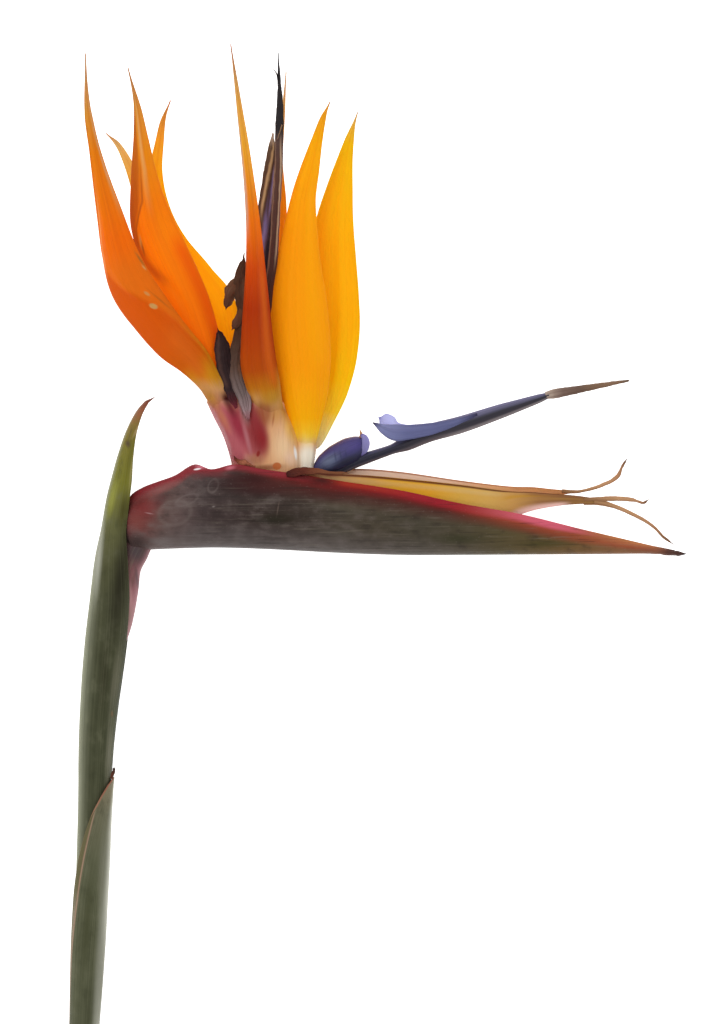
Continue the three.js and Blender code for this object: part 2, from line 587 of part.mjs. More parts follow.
// Papery bracts in the trough: rows of [x, y of the lower edge, y of the upper edge, z]
const BRACTEOLE_FAR = [
  [58, 4.6, 27, 6.6], [66, 4.4, 27.4, 6.9], [78, 4.1, 26.5, 7.2], [96, 4.1, 23.9, 7.4],
  [108, 7, 22.4, 7.7], [113, 13, 22, 7.9], [118, 16.8, 21.9, 8.2], [123.6, 18.9, 21.2, 8.8],
  [129, 19.9, 20.9, 9.6],
];
const BRACTEOLE_FAR_TIP = [
  [127.6, 20.3, 9.4, 0.6, 0.5], [135, 21.4, 10.2, 0.42, 0.4], [141, 23.6, 11, 0.4, 0.36],
  [144.2, 26.4, 11.8, 0.4, 0.36], [146.4, 29.6, 12.4, 0.36, 0.34],
];
const BRACTEOLE_NEAR = [
  [57, 4.6, 25.6, 11.6], [66, 4.4, 25.6, 11.4], [78, 4.1, 24.5, 11], [96, 4.1, 22.6, 10.6],
  [107, 7, 21.1, 10.3], [112, 12.4, 20.6, 10.4], [117, 14.7, 20.3, 10.7], [126, 16.5, 19.4, 11.2],
  [135, 17, 18.2, 12],
];
const BRACTEOLE_NEAR_TIPS = [
  [[133.6, 17.8, 11.8, 0.6, 0.5], [142, 18.3, 12.6, 0.4, 0.36], [148.4, 18.2, 13, 0.36, 0.34],
    [151, 17.2, 13, 0.36, 0.34], [152.4, 17.9, 13, 0.34, 0.34]],
  [[133.6, 17.2, 11.8, 0.6, 0.5], [141.6, 17, 12, 0.4, 0.36], [147, 14.7, 12.2, 0.4, 0.36],
    [153, 11.2, 12.2, 0.4, 0.36], [157.6, 6, 12, 0.4, 0.36], [160, 4.6, 11.8, 0.34, 0.34]],
];

// A bract's section stands on its lower edge and bows toward the near side: [level, bow].
const BRACT_SECTION = [[0, 0], [0.25, 0.5], [0.5, 0.6], [0.75, 0.4], [1, 0]];
const FULL_BOW_HEIGHT = 12;

function standingBract(rows) {
  const stations = rowsAlong(rows, (rows.length - 1) * 3);
  const rings = stations.map(({ place: { x, y: low, z: high }, extra: [z] }) => {
    const height = high - low;
    const face = (offset) => BRACT_SECTION.map(([level, bow]) => (
      new THREE.Vector3(x, low + height * level, z + bow * Math.min(1, height / FULL_BOW_HEIGHT) + offset)));
    return [...face(PAPER / 2), ...face(-PAPER / 2).reverse()];
  });
  return loft(rings);
}

// Assembly

place('stem', stalk(), GREEN, 0.55);
place('sheath_upper', sheath(UPPER_SHEATH, 180, 32, UPPER_SHEATH_TIP), GREEN, 0.5);
place('sheath_lower', sheath(LOWER_SHEATH, 0, 18, WALL), GREEN, 0.5);
place('spathe', spathe(), BEAK_BROWN, 0.45);

for (const [name, { rows, color }] of Object.entries(FLORET_BASES)) {
  place(name, floretBase(rows), color, 0.45);
}

for (const [name, { base, rows, color, wave }] of Object.entries(SEPALS)) {
  const seat = FLORET_BASES[base].rows.at(-1)[0] + CLEARANCE;
  place(name, without(blade(rows, { wave }), belowLevel(seat)), color, 0.5);
}

for (const [name, { base, rows, flap }] of Object.entries(WITHERED_PETALS)) {
  const seat = FLORET_BASES[base].rows.at(-1)[0] + CLEARANCE;
  const dry = { ridge: 0.9, edge: PAPER };
  const whole = flap ? joined(blade(rows, dry), blade(flap, dry)) : blade(rows, dry);
  place(name, without(whole, belowLevel(seat)), WITHERED, 0.8);
}

const tongueClear = freshTongue(CLEARANCE);
const rightBaseClear = floretBase(FLORET_BASES.floret_base_right.rows, CLEARANCE);
place('tongue_fresh', without(freshTongue(), rightBaseClear), INDIGO, 0.5);
place('style_fresh', limb(STYLE, { sides: 8 }), UMBER, 0.7);
place('hood_petal', without(joined(limb(HOOD, { sides: 14 }), limb(HOOD_SPUR, { sides: 6 })),
  tongueClear, rightBaseClear), INDIGO, 0.5);

place('bracteole_far', joined(standingBract(BRACTEOLE_FAR), limb(BRACTEOLE_FAR_TIP, { sides: 6 })), TAN, 0.8);
place('bracteole_near',
  joined(standingBract(BRACTEOLE_NEAR), ...BRACTEOLE_NEAR_TIPS.map((rows) => limb(rows, { sides: 6 }))),
  TAN, 0.8);

export default flower;
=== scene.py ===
"""The bird of paradise flower, cut and lying on its side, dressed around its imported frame.

Sizes are in millimetres from the neck, where the stalk bends into the beak: x runs along the beak,
y up the sepals and z up from the surface that the flower lies on.
"""

import logging
import math
from dataclasses import dataclass, field, replace
from enum import Enum

import bpy
from mathutils import Matrix, Vector, noise


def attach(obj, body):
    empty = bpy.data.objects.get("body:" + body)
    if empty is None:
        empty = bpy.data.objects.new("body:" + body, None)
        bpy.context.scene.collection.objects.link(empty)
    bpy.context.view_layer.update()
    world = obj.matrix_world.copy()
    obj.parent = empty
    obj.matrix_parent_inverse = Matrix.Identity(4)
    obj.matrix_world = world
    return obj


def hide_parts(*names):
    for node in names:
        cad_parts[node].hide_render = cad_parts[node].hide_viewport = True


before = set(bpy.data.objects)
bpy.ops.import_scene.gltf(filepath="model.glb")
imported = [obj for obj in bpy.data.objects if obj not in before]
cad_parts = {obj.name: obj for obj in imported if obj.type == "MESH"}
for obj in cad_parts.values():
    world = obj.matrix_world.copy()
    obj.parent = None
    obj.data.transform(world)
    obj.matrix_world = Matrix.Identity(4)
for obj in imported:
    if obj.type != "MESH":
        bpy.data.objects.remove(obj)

MM = 0.001
NECK = Vector((-69.9, 16.0, 0.0))  # the neck's place in the frame, in millimetres
BODY = "root"
RUN_MAP = "Run"
CRUMPLE_SEED = 7  # makes the withered pieces crumple alike in each run

Rgb = int  # a screen colour, written as 0xRRGGBB
Run = tuple[tuple[float, Rgb], ...]  # stops of a share from 0 to 1 and a colour
Path = tuple[tuple[float, float], ...]
Rows = tuple[tuple[float, ...], ...]  # a row may leave out the zeros at its end

Piece = bpy.types.Object
Material = bpy.types.Material
Socket = bpy.types.NodeSocket

log = logging.getLogger("flower")


def linear(colour: Rgb) -> tuple[float, float, float, float]:
    """Gives a screen colour as the linear colour that a shader takes."""
    values = [channel / 255 for channel in colour.to_bytes(3, "big")]
    return (*((v / 12.92) if v <= 0.04045 else ((v + 0.055) / 1.055) ** 2.4 for v in values), 1.0)


def in_frame(place: Vector) -> Vector:
    """Turns a place from the neck, in millimetres, into metres in the frame."""
    return (place + NECK) * MM


def smooth(low: float, high: float, value: float) -> float:
    """Rises smoothly from 0 at low to 1 at high."""
    share = min(1.0, max(0.0, (value - low) / (high - low)))
    return share * share * (3 - 2 * share)


# Curves and skins


@dataclass(frozen=True)
class Station:
    """One place along a run, with its direction and up to three sizes."""

    t: float
    place: Vector
    tangent: Vector
    sizes: Vector

    def axes(self, roll: float = 0.0) -> tuple[Vector, Vector]:
        """Finds the two directions across the run.

        Args:
            roll: Degrees that the pair is turned about the run.

        Returns:
            The direction in the surface's plane and the one that points up from it.
        """
        side = self.tangent.cross(Vector((0, 0, 1))).normalized()
        out = side.cross(self.tangent).normalized()
        turn = Matrix.Rotation(math.radians(roll), 3, self.tangent)
        return turn @ side, turn @ out


class Course:
    """A smooth centripetal curve through rows of a place and up to three sizes."""

    STEP = 1e-4  # how far ahead and behind the direction is read

    def __init__(self, rows: Rows) -> None:
        """Splits each row into its place and its sizes."""
        self.places = [Vector(row[:3]) for row in rows]
        self.sizes = [Vector((*row[3:6], 0.0, 0.0, 0.0)[:3]) for row in rows]

    @staticmethod
    def between(points: list[Vector], t: float) -> Vector:
        """Reads the curve through some points.

        Args:
            points: The points that the curve passes.
            t: The share of the way, with each span as long as the others.

        Returns:
            The point at that share.
        """
        last = len(points) - 1
        index = min(int(last * t), last - 1)
        weight = last * t - index
        p1, p2 = points[index], points[index + 1]
        p0 = points[index - 1] if index > 0 else 2 * p1 - p2
        p3 = points[index + 2] if index + 2 <= last else 2 * p2 - p1
        d1 = (p2 - p1).length ** 0.5 or 1.0
        d0 = (p1 - p0).length ** 0.5 or d1
        d2 = (p3 - p2).length ** 0.5 or d1
        leave = ((p1 - p0) / d0 - (p2 - p0) / (d0 + d1) + (p2 - p1) / d1) * d1
        arrive = ((p2 - p1) / d1 - (p3 - p1) / (d1 + d2) + (p3 - p2) / d2) * d1
        bend = 3 * (p2 - p1) - 2 * leave - arrive
        twist = 2 * (p1 - p2) + leave + arrive
        return p1 + leave * weight + bend * weight ** 2 + twist * weight ** 3

    def at(self, t: float) -> Station:
        """Gives the station at a share of the way.

        Args:
            t: The share.

        Returns:
            The station there.
        """
        ahead = self.between(self.places, min(1, t + self.STEP))
        behind = self.between(self.places, max(0, t - self.STEP))
        sizes = self.between(self.sizes, t)
        return Station(t, self.between(self.places, t), (ahead - behind).normalized(), sizes)

    def stations(self, steps: int) -> list[Station]:
        """Gives evenly shared stations, both ends among them."""
        return [self.at(step / steps) for step in range(steps + 1)]


@dataclass
class Skin:
    """A mesh over rings of points, with a map of how far along and across each point is."""

    rings: list[list[Vector]]
    along: list[float]
    across: list[float]
    wrap: float = 0.0  # the across value where the ring closes on itself
    start: Vector | None = None
    end: Vector | None = None
    wall_ends: bool = False  # the ends are closed straight across a wrapped wall
    crease: float = 180.0  # edges sharper than this stay sharp, in degrees

    def build(self, name: str) -> Piece:
        """Makes the mesh and its object.

        Args:
            name: The object's name.

        Returns:
            The object, linked to the scene and riding on the flower's body.
        """
        count = len(self.across)
        points = [point for ring in self.rings for point in ring]
        maps = [(u, v) for v in self.along for u in self.across]
        faces: list[tuple[int, ...]] = []
        corners: list[tuple[tuple[float, float], ...]] = []
        for row in range(len(self.rings) - 1):
            for column in range(count):
                right = (column + 1) % count
                ring = (row * count + column, row * count + right,
                        (row + 1) * count + right, (row + 1) * count + column)
                faces.append(ring)
                edge = self.wrap if right == 0 else self.across[right]
                corners.append(((self.across[column], self.along[row]), (edge, self.along[row]),
                                (edge, self.along[row + 1]), (self.across[column], self.along[row + 1])))
        for row, apex, turned in ((0, self.start, True), (len(self.rings) - 1, self.end, False)):
            end_faces, end_corners = self._end(row, apex, points, maps)
            if turned:
                end_faces = [tuple(reversed(face)) for face in end_faces]
                end_corners = [tuple(reversed(face)) for face in end_corners]
            faces += end_faces
            corners += end_corners
        mesh = bpy.data.meshes.new(name)
        lifted = [Vector((p.x, p.y, max(p.z, 0.0))) for p in points]
        mesh.from_pydata([in_frame(p) for p in lifted], [], faces)
        layer = mesh.uv_layers.new(name=RUN_MAP)
        flat = [value for face in corners for corner in face for value in corner]
        layer.data.foreach_set("uv", flat)
        mesh.shade_smooth()
        if self.crease < 180:
            mesh.set_sharp_from_angle(angle=math.radians(self.crease))
        mesh.validate()
        piece = bpy.data.objects.new(name, mesh)
        bpy.context.scene.collection.objects.link(piece)
        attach(piece, BODY)
        return piece

    def _end(self, row: int, apex: Vector | None, points: list[Vector],
             maps: list[tuple[float, float]]) -> tuple[list, list]:
        """Closes one end of the skin.

        Args:
            row: The ring at that end.
            apex: The point that the end closes on, or None for the ring's middle.
            points: The mesh's points, which gain the apex.
            maps: The points' map values, which gain the apex's.

        Returns:
            The end's faces and the map values of their corners.
        """
        count = len(self.across)
        first = row * count
        if self.wall_ends:
            faces = [(first + i, first + i + 1, first + count - 2 - i, first + count - 1 - i)
                     for i in range(count // 2 - 1)]
            return faces, [tuple(maps[index] for index in face) for face in faces]
        ring = self.rings[row]
        points.append(apex if apex is not None else sum(ring, Vector()) / count)
        maps.append((sum(self.across) / count, self.along[row]))
        tip = len(points) - 1
        faces = [(tip, first + i, first + (i + 1) % count) for i in range(count)]
        return faces, [tuple(maps[index] for index in face) for face in faces]


# Finishes


@dataclass(frozen=True)
class Grain:
    """Cloudy noise that mottles or streaks a finish."""

    scale: tuple[float, float, float]  # patches for each unit of the coordinates
    shift: float  # moves the pattern, so that no two agree
    layers: float  # how many finer layers it has

    SPREAD = (1.0, 1.7, 0.6)

    def start(self) -> tuple[float, ...]:
        """Gives where the pattern starts along each coordinate."""
        return tuple(self.shift * part for part in self.SPREAD)


class Recipe:
    """The nodes of one finish, added by plain calls that take and give sockets."""

    def __init__(self, name: str) -> None:
        """Starts a material with nothing but its output.

        Args:
            name: The material's name.
        """
        self.material = bpy.data.materials.new(name)
        self.material.use_nodes = True
        self.tree = self.material.node_tree
        self.tree.nodes.clear()
        self.output = self.tree.nodes.new("ShaderNodeOutputMaterial")
        run = self.tree.nodes.new("ShaderNodeUVMap")
        run.uv_map = RUN_MAP
        self.run = run.outputs["UV"]
        parts = self.tree.nodes.new("ShaderNodeSeparateXYZ")
        self.tree.links.new(self.run, parts.inputs[0])
        self.across, self.along = parts.outputs[0], parts.outputs[1]
        self.place = self.tree.nodes.new("ShaderNodeTexCoord").outputs["Object"]

    def plug(self, socket: Socket, value: object) -> None:
        """Links a socket to another one, or sets it to a plain value.

        Args:
            socket: The socket that takes the value.
            value: The other socket, or the value itself.
        """
        if isinstance(value, Socket):
            self.tree.links.new(value, socket)
        else:
            socket.default_value = value

    def math(self, operation: str, first: object, second: object = 0.0, third: object = 0.0) -> object:
        """Does one sum.

        Args:
            operation: The name of Blender's operation.
            first: The first value.
            second: The second value, where the operation takes one.
            third: The third value, where the operation takes one.

        Returns:
            The result's socket.
        """
        node = self.tree.nodes.new("ShaderNodeMath")
        node.operation = operation
        for socket, value in zip(node.inputs, (first, second, third)):
            self.plug(socket, value)
        return node.outputs[0]

    def ruler(self) -> tuple[object, object]:
        """Reads a place in the flower's own sizes.

        Returns:
            The places along the beak and up the sepals, in millimetres from the neck.
        """
        parts = self.tree.nodes.new("ShaderNodeSeparateXYZ")
        self.tree.links.new(self.place, parts.inputs[0])
        x, y = (self.math("MULTIPLY_ADD", parts.outputs[axis], 1 / MM, -NECK[axis]) for axis in (0, 1))
        return x, y

    def share(self, value: object, low: object, high: object, way: str = "LINEAR") -> object:
        """Turns a value into its clamped share of the way from low to high.

        Args:
            value: The value.
            low: Where the share is 0.
            high: Where the share is 1.
            way: Blender's name for how it rises between them.

        Returns:
            The share's socket.
        """
        node = self.tree.nodes.new("ShaderNodeMapRange")
        node.interpolation_type = way
        for name, given in (("Value", value), ("From Min", low), ("From Max", high)):
            self.plug(node.inputs[name], given)
        return node.outputs["Result"]

    def rise(self, value: object, low: object, high: object) -> object:
        """Rises smoothly from 0 where value is low to 1 where it is high."""
        return self.share(value, low, high, "SMOOTHSTEP")

    def ramp(self, value: object, stops: tuple) -> object:
        """Reads a run of linear colours.

        Args:
            value: Where it is read, from 0 to 1.
            stops: Pairs of a place from 0 to 1 and a linear colour.

        Returns:
            The socket of the colour there.
        """
        node = self.tree.nodes.new("ShaderNodeValToRGB")
        elements = node.color_ramp.elements
        while len(elements) < len(stops):
            elements.new(1.0)
        for element, (at, colour) in zip(elements, stops):
            element.position = at
            element.color = colour
        self.plug(node.inputs[0], value)
        return node.outputs[0]

    def colours(self, value: object, stops: Run) -> object:
        """Reads a run of screen colours at a value from 0 to 1."""
        return self.ramp(value, tuple((at, linear(colour)) for at, colour in stops))

    def follow(self, value: object, path: Path) -> object:
        """Reads a broken line's height at a value from 0 to 1."""
        return self.ramp(value, tuple((at, (height, height, height, 1.0)) for at, height in path))

    def mix(self, factor: object, first: object, second: object) -> object:
        """Blends two colours.

        Args:
            factor: How much of the second shows.
            first: The colour below, a socket or a screen colour.
            second: The colour above, a socket or a screen colour.

        Returns:
            The blended colour's socket.
        """
        node = self.tree.nodes.new("ShaderNodeMix")
        node.data_type = "RGBA"
        node.clamp_factor = True
        self.plug(node.inputs["Factor"], factor)
        for socket, value in zip(node.inputs[6:8], (first, second)):
            self.plug(socket, linear(value) if isinstance(value, int) else value)
        return node.outputs[2]

    def veil(self, mask: object, strength: float, below: object, colour: Rgb) -> object:
        """Lays a screen colour over another one where the mask is 1, as strongly as given."""
        return self.mix(self.math("MULTIPLY", mask, strength), below, colour)

    def laid(self, marks: tuple, colour: object) -> object:
        """Lays marks over a colour, one after the other.

        Args:
            marks: The tints and patches.
            colour: The colour below them.

        Returns:
            The marked colour.
        """
        for mark in marks:
            colour = mark.lay(self, colour)
        return colour

    def grain(self, source: object, grain: Grain) -> object:
        """Makes cloudy noise.

        Args:
            source: The coordinates.
            grain: The noise's scale, start and layers.

        Returns:
            The noise's socket, from 0 to 1.
        """
        node = self.tree.nodes.new("ShaderNodeTexNoise")
        node.inputs["Scale"].default_value = 1.0
        node.inputs["Detail"].default_value = grain.layers
        stretched = self.tree.nodes.new("ShaderNodeMapping")
        stretched.inputs["Location"].default_value = grain.start()
        stretched.inputs["Scale"].default_value = grain.scale
        self.plug(stretched.inputs["Vector"], source)
        self.plug(node.inputs["Vector"], stretched.outputs[0])
        return node.outputs[0]

    def bump(self, height: object, depth: float, below: object = None) -> object:
        """Turns a height into a bent normal.

        Args:
            height: The height, from 0 to 1.
            depth: How deep that is, in millimetres.
            below: Another bump's normal that this one lies on.

        Returns:
            The normal's socket.
        """
        node = self.tree.nodes.new("ShaderNodeBump")
        node.inputs["Distance"].default_value = depth * MM
        self.plug(node.inputs["Height"], height)
        if below is not None:
            self.plug(node.inputs["Normal"], below)
        return node.outputs[0]

    def finish(self, colour: object, roughness: object, normal: object = None, shine: float = 0.5,
               glow: float = 0.0, lit: object = None) -> Material:
        """Ends the recipe with its shader.

        Args:
            colour: The surface's colour.
            roughness: How dull it is, from 0 to 1.
            normal: Its bumps.
            shine: How strongly it reflects.
            glow: The share of light that comes through from behind.
            lit: The colour of that light, where it differs from the surface's.

        Returns:
            The finished material.
        """
        shader = self.tree.nodes.new("ShaderNodeBsdfPrincipled")
        self.plug(shader.inputs["Base Color"], colour)
        self.plug(shader.inputs["Roughness"], roughness)
        shader.inputs["Specular IOR Level"].default_value = shine
        if normal is not None:
            self.plug(shader.inputs["Normal"], normal)
        surface = shader.outputs[0]
        if glow > 0:
            through = self.tree.nodes.new("ShaderNodeBsdfTranslucent")
            self.plug(through.inputs["Color"], lit if lit is not None else colour)
            both = self.tree.nodes.new("ShaderNodeMixShader")
            both.inputs[0].default_value = glow
            self.tree.links.new(surface, both.inputs[1])
            self.tree.links.new(through.outputs[0], both.inputs[2])
            surface = both.outputs[0]
        self.tree.links.new(surface, self.output.inputs["Surface"])
        return self.material


class Where(Enum):
    """Which side of its path a tint covers."""

    BAND = "band"
    LOWER = "lower"
    HIGHER = "higher"


@dataclass(frozen=True)
class Tint:
    """A colour laid along a path over a piece's map, or over all of one side of that path."""

    colour: Rgb
    path: Path  # points of (along, across)
    width: float
    strength: float = 1.0
    where: Where = Where.BAND
    fade: float = 0.04

    def lay(self, recipe: Recipe, below: object) -> object:
        """Lays the tint over a colour.

        Args:
            recipe: The recipe that the nodes go into.
            below: The colour below.

        Returns:
            The tinted colour.
        """
        middle = recipe.follow(recipe.along, self.path)
        offset = recipe.math("SUBTRACT", recipe.across, middle)
        if self.where is Where.BAND:
            mask = recipe.rise(recipe.math("ABSOLUTE", offset), self.width, 0.0)
        elif self.where is Where.LOWER:
            mask = recipe.rise(offset, self.width, -self.width)
        else:
            mask = recipe.rise(offset, -self.width, self.width)
        first, last = self.path[0][0], self.path[-1][0]
        if first > 0:
            started = recipe.rise(recipe.along, first - self.fade, first + self.fade)
            mask = recipe.math("MULTIPLY", mask, started)
        if last < 1:
            unended = recipe.rise(recipe.along, last + self.fade, last - self.fade)
            mask = recipe.math("MULTIPLY", mask, unended)
        return recipe.veil(mask, self.strength, below, self.colour)


@dataclass(frozen=True)
class Patch:
    """A soft oval of colour at a place on the flower, whichever piece is there."""

    colour: Rgb
    x: float
    y: float
    half_length: float
    half_width: float
    turn: float = 0.0  # degrees, anticlockwise from the beak's direction
    strength: float = 1.0
    edge: float = 1.0  # 1 fades from the middle outward, small values only at the rim
    ring: float = 0.0  # above 0 the oval is only a line round its rim, this wide

    DEPTH = 1000.0  # half its depth in metres, so that a place's height doesn't count

    def lay(self, recipe: Recipe, below: object) -> object:
        """Lays the patch over a colour.

        Args:
            recipe: The recipe that the nodes go into.
            below: The colour below.

        Returns:
            The patched colour.
        """
        node = recipe.tree.nodes.new("ShaderNodeMapping")
        node.vector_type = "TEXTURE"
        node.inputs["Location"].default_value = in_frame(Vector((self.x, self.y, 0.0)))
        node.inputs["Rotation"].default_value = (0.0, 0.0, math.radians(self.turn))
        node.inputs["Scale"].default_value = (self.half_length * MM, self.half_width * MM, self.DEPTH)
        recipe.plug(node.inputs["Vector"], recipe.place)
        length = recipe.tree.nodes.new("ShaderNodeVectorMath")
        length.operation = "LENGTH"
        recipe.plug(length.inputs[0], node.outputs[0])
        reach = length.outputs["Value"]
        if self.ring > 0:
            from_rim = recipe.math("ABSOLUTE", recipe.math("SUBTRACT", reach, 1.0))
            mask = recipe.rise(from_rim, self.ring, 0.0)
        else:
            mask = recipe.rise(reach, 1.0, 1.0 - self.edge)
        return recipe.veil(mask, self.strength, below, self.colour)


def ovals(*rows: tuple[float, ...]) -> tuple[Patch, ...]:
    """Makes patches from rows of [colour, x, y, half length, half width, turn, strength, edge, ring]."""
    return tuple(Patch(*row) for row in rows)


@dataclass(frozen=True)
class Stain:
    """A colour that shows where a texture rises from low to high."""

    colour: Rgb
    low: float
    high: float
    strength: float

    def lay(self, recipe: Recipe, value: object, below: object, *within: object) -> object:
        """Lays the stain over a colour.

        Args:
            recipe: The recipe that the nodes go into.
            value: The texture.
            below: The colour below.
            within: Masks that hold the stain in.

        Returns:
            The stained colour.
        """
        mask = recipe.rise(value, self.low, self.high)
        for other in within:
            mask = recipe.math("MULTIPLY", mask, other)
        return recipe.veil(mask, self.strength, below, self.colour)


@dataclass(frozen=True)
class Flesh:
    """The fleshy feet's colours, laid by place so that bases and claws share them without a seam."""

    ground: Rgb = 0xE2AA7A
    patches: tuple[Patch, ...] = ovals(
        (0xF6D2A4, 43.4, 33.6, 6, 9, 0, 0.9), (0xFAC83C, 50.4, 41, 8, 10, 0, 1, 0.9),
        (0xECBA5A, 45.2, 40, 3, 7, 10, 0.8), (0xB05858, 33, 39, 12.5, 6.6, -74, 1, 0.5),
        (0xBC6068, 26.2, 38, 15, 5.6, -65, 1, 0.45), (0xD29094, 24, 40.2, 12, 1.2, -64, 0.7),
        (0xCC7C58, 24.8, 42.8, 7.5, 2, -62, 0.75), (0xCC923A, 21.4, 48.6, 5.6, 3.4, -50, 0.9),
        (0x9E3042, 29.4, 40.6, 11, 3, -66, 1, 0.9), (0xA45C36, 37.4, 44, 6.5, 4, 84, 0.9, 0.7),
        (0x963236, 35, 39, 11.5, 4.2, -76, 1, 0.8), (0x963636, 33.8, 46.4, 4, 0.9, -84, 0.9),
        (0x922428, 36.6, 36.4, 6.4, 3, -78, 1, 1), (0xBE787E, 32.3, 36.4, 11, 1.1, -76, 0.75),
        (0xE2A096, 32.8, 29.6, 3.4, 1.6, -60, 0.6), (0x6E1826, 27.4, 45.4, 5, 1.8, -62, 0.9),
        (0x461218, 26.2, 48.2, 3.8, 2.2, -55), (0xC07E2C, 39.4, 49.6, 4.6, 4.8, 84, 1, 0.7),
        (0xA25232, 37, 43.6, 4.4, 0.6, -80, 0.8), (0x9E422E, 40.2, 42.4, 3.8, 0.5, -98, 0.8),
        (0xCE983A, 43.2, 45.4, 5.6, 2.2, -80, 0.9), (0xCC9248, 41.2, 44, 5, 3, 84, 0.75),
        (0x9E8280, 31.2, 45.4, 7.6, 1.7, -75, 0.9, 1), (0x7C6866, 30.4, 48.6, 3.6, 2.2, -70, 0.9, 1),
        (0xB87A5A, 34.4, 30, 4, 2.4, 0, 0.8), (0xAA6842, 38, 27.4, 7, 1.4, 0, 0.8),
        (0x965C3C, 38.4, 27.8, 8, 1.3, 4, 0.7), (0xFADE82, 50, 37, 3, 6, 6, 0.8),
        (0xFFF4BE, 55.4, 37, 2.4, 4.6, -14, 0.9), (0xF6ECD8, 50.4, 30, 4.8, 6.6, 6, 1, 0.7),
        # the near-white oval at (46.7, 32) is a painted highlight
        (0xF0CCB0, 45.2, 30.4, 2.6, 3.8, 20, 0.8), (0xFCFAF6, 46.7, 32, 0.6, 2.8, 8, 1, 0.7),
        (0x92241E, 35.6, 31.8, 1.3, 0.7, 72, 0.9, 0.6), (0xC0642C, 41.2, 28.1, 1.5, 1.3, 0, 0.9, 0.3),
    )
    streaks: Grain = Grain((1100, 120, 300), 4, 2)
    streak: Stain = Stain(0x823832, 0.5, 0.75, 0.14)
    strands: Grain = Grain((1400, 90, 600), 2, 2)
    strand_depth: float = 0.3
    roughness: float = 0.4

    def lay(self, recipe: Recipe) -> object:
        """Colours every place as flesh.

        Args:
            recipe: The recipe that the nodes go into.

        Returns:
            The colour's socket.
        """
        colour = recipe.laid(self.patches, recipe.mix(0.0, self.ground, self.ground))
        return self.streak.lay(recipe, recipe.grain(recipe.place, self.streaks), colour)

    def make(self) -> Material:
        """Builds the bases' finish.

        Returns:
            The material.
        """
        recipe = Recipe("claw_flesh")
        colour = self.lay(recipe)
        normal = recipe.bump(recipe.grain(recipe.place, self.strands), self.strand_depth)
        return recipe.finish(colour, self.roughness, normal, shine=0.15, glow=0.2)


@dataclass(frozen=True)
class SepalFinish:
    """An orange sepal: a run of colours from claw to tip, veins, light margins and its own marks."""

    name: str
    run: Run
    margin: Rgb = 0xF5A546
    margin_strength: float = 0.45
    vein: Rgb = 0xBE500A
    vein_strength: float = 0.3
    marks: tuple = ()
    claw: tuple[float, float] | None = None  # heights where the flesh's colours are full and gone
    light: Rgb = 0xFFBE28  # what the light that comes through it leans to
    glow: float = 0.25

    BROAD = Grain((9, 1.1, 1), 3.1, 2)
    BROAD_SPAN = (0.42, 0.72)  # the noise where a vein starts and where it is full
    FINE = Grain((64, 1.5, 1), 8.4, 3)
    FINE_SPAN = (0.48, 0.76)
    FINE_DEPTH = 0.2
    VEINING = 0.8
    MARGIN_WIDTH = 0.045
    RAGGED = Grain((24, 1, 1), 5, 2)
    RAG = 5.0  # how much the height of the claw's end varies
    CELLS = Grain((2200, 2200, 2200), 1, 2)
    CELL_DEPTH = 0.03
    DULL = (0.2, 0.4)  # what the veins add to the roughness, and the least
    LEANING = 0.45

    def make(self) -> Material:
        """Builds the sepal's finish.

        Returns:
            The material.
        """
        recipe = Recipe(self.name)
        colour = recipe.colours(recipe.along, self.run)
        strength = self.vein_strength * self.VEINING
        broad = recipe.grain(recipe.run, self.BROAD)
        colour = Stain(self.vein, *self.BROAD_SPAN, strength).lay(recipe, broad, colour)
        fine = recipe.grain(recipe.run, self.FINE)
        colour = Stain(self.vein, *self.FINE_SPAN, strength).lay(recipe, fine, colour)
        colour = recipe.laid(self.marks, colour)
        from_edge = recipe.math("PINGPONG", recipe.across, 0.5)
        edge = Stain(self.margin, self.MARGIN_WIDTH, 0.0, self.margin_strength)
        colour = edge.lay(recipe, from_edge, colour)
        if self.claw is not None:
            full, gone = self.claw
            _, height = recipe.ruler()
            noise_here = recipe.grain(recipe.run, self.RAGGED)
            ragged = recipe.math("MULTIPLY_ADD", noise_here, self.RAG, -self.RAG / 2)
            reach = recipe.math("ADD", height, ragged)
            colour = recipe.mix(recipe.rise(reach, gone, full), colour, Flesh().lay(recipe))
        cells = recipe.grain(recipe.place, self.CELLS)
        normal = recipe.bump(cells, self.CELL_DEPTH, recipe.bump(fine, self.FINE_DEPTH))
        roughness = recipe.math("MULTIPLY_ADD", fine, *self.DULL)
        lit = recipe.mix(self.LEANING, colour, self.light)
        return recipe.finish(colour, roughness, normal, shine=0.1, glow=self.glow, lit=lit)


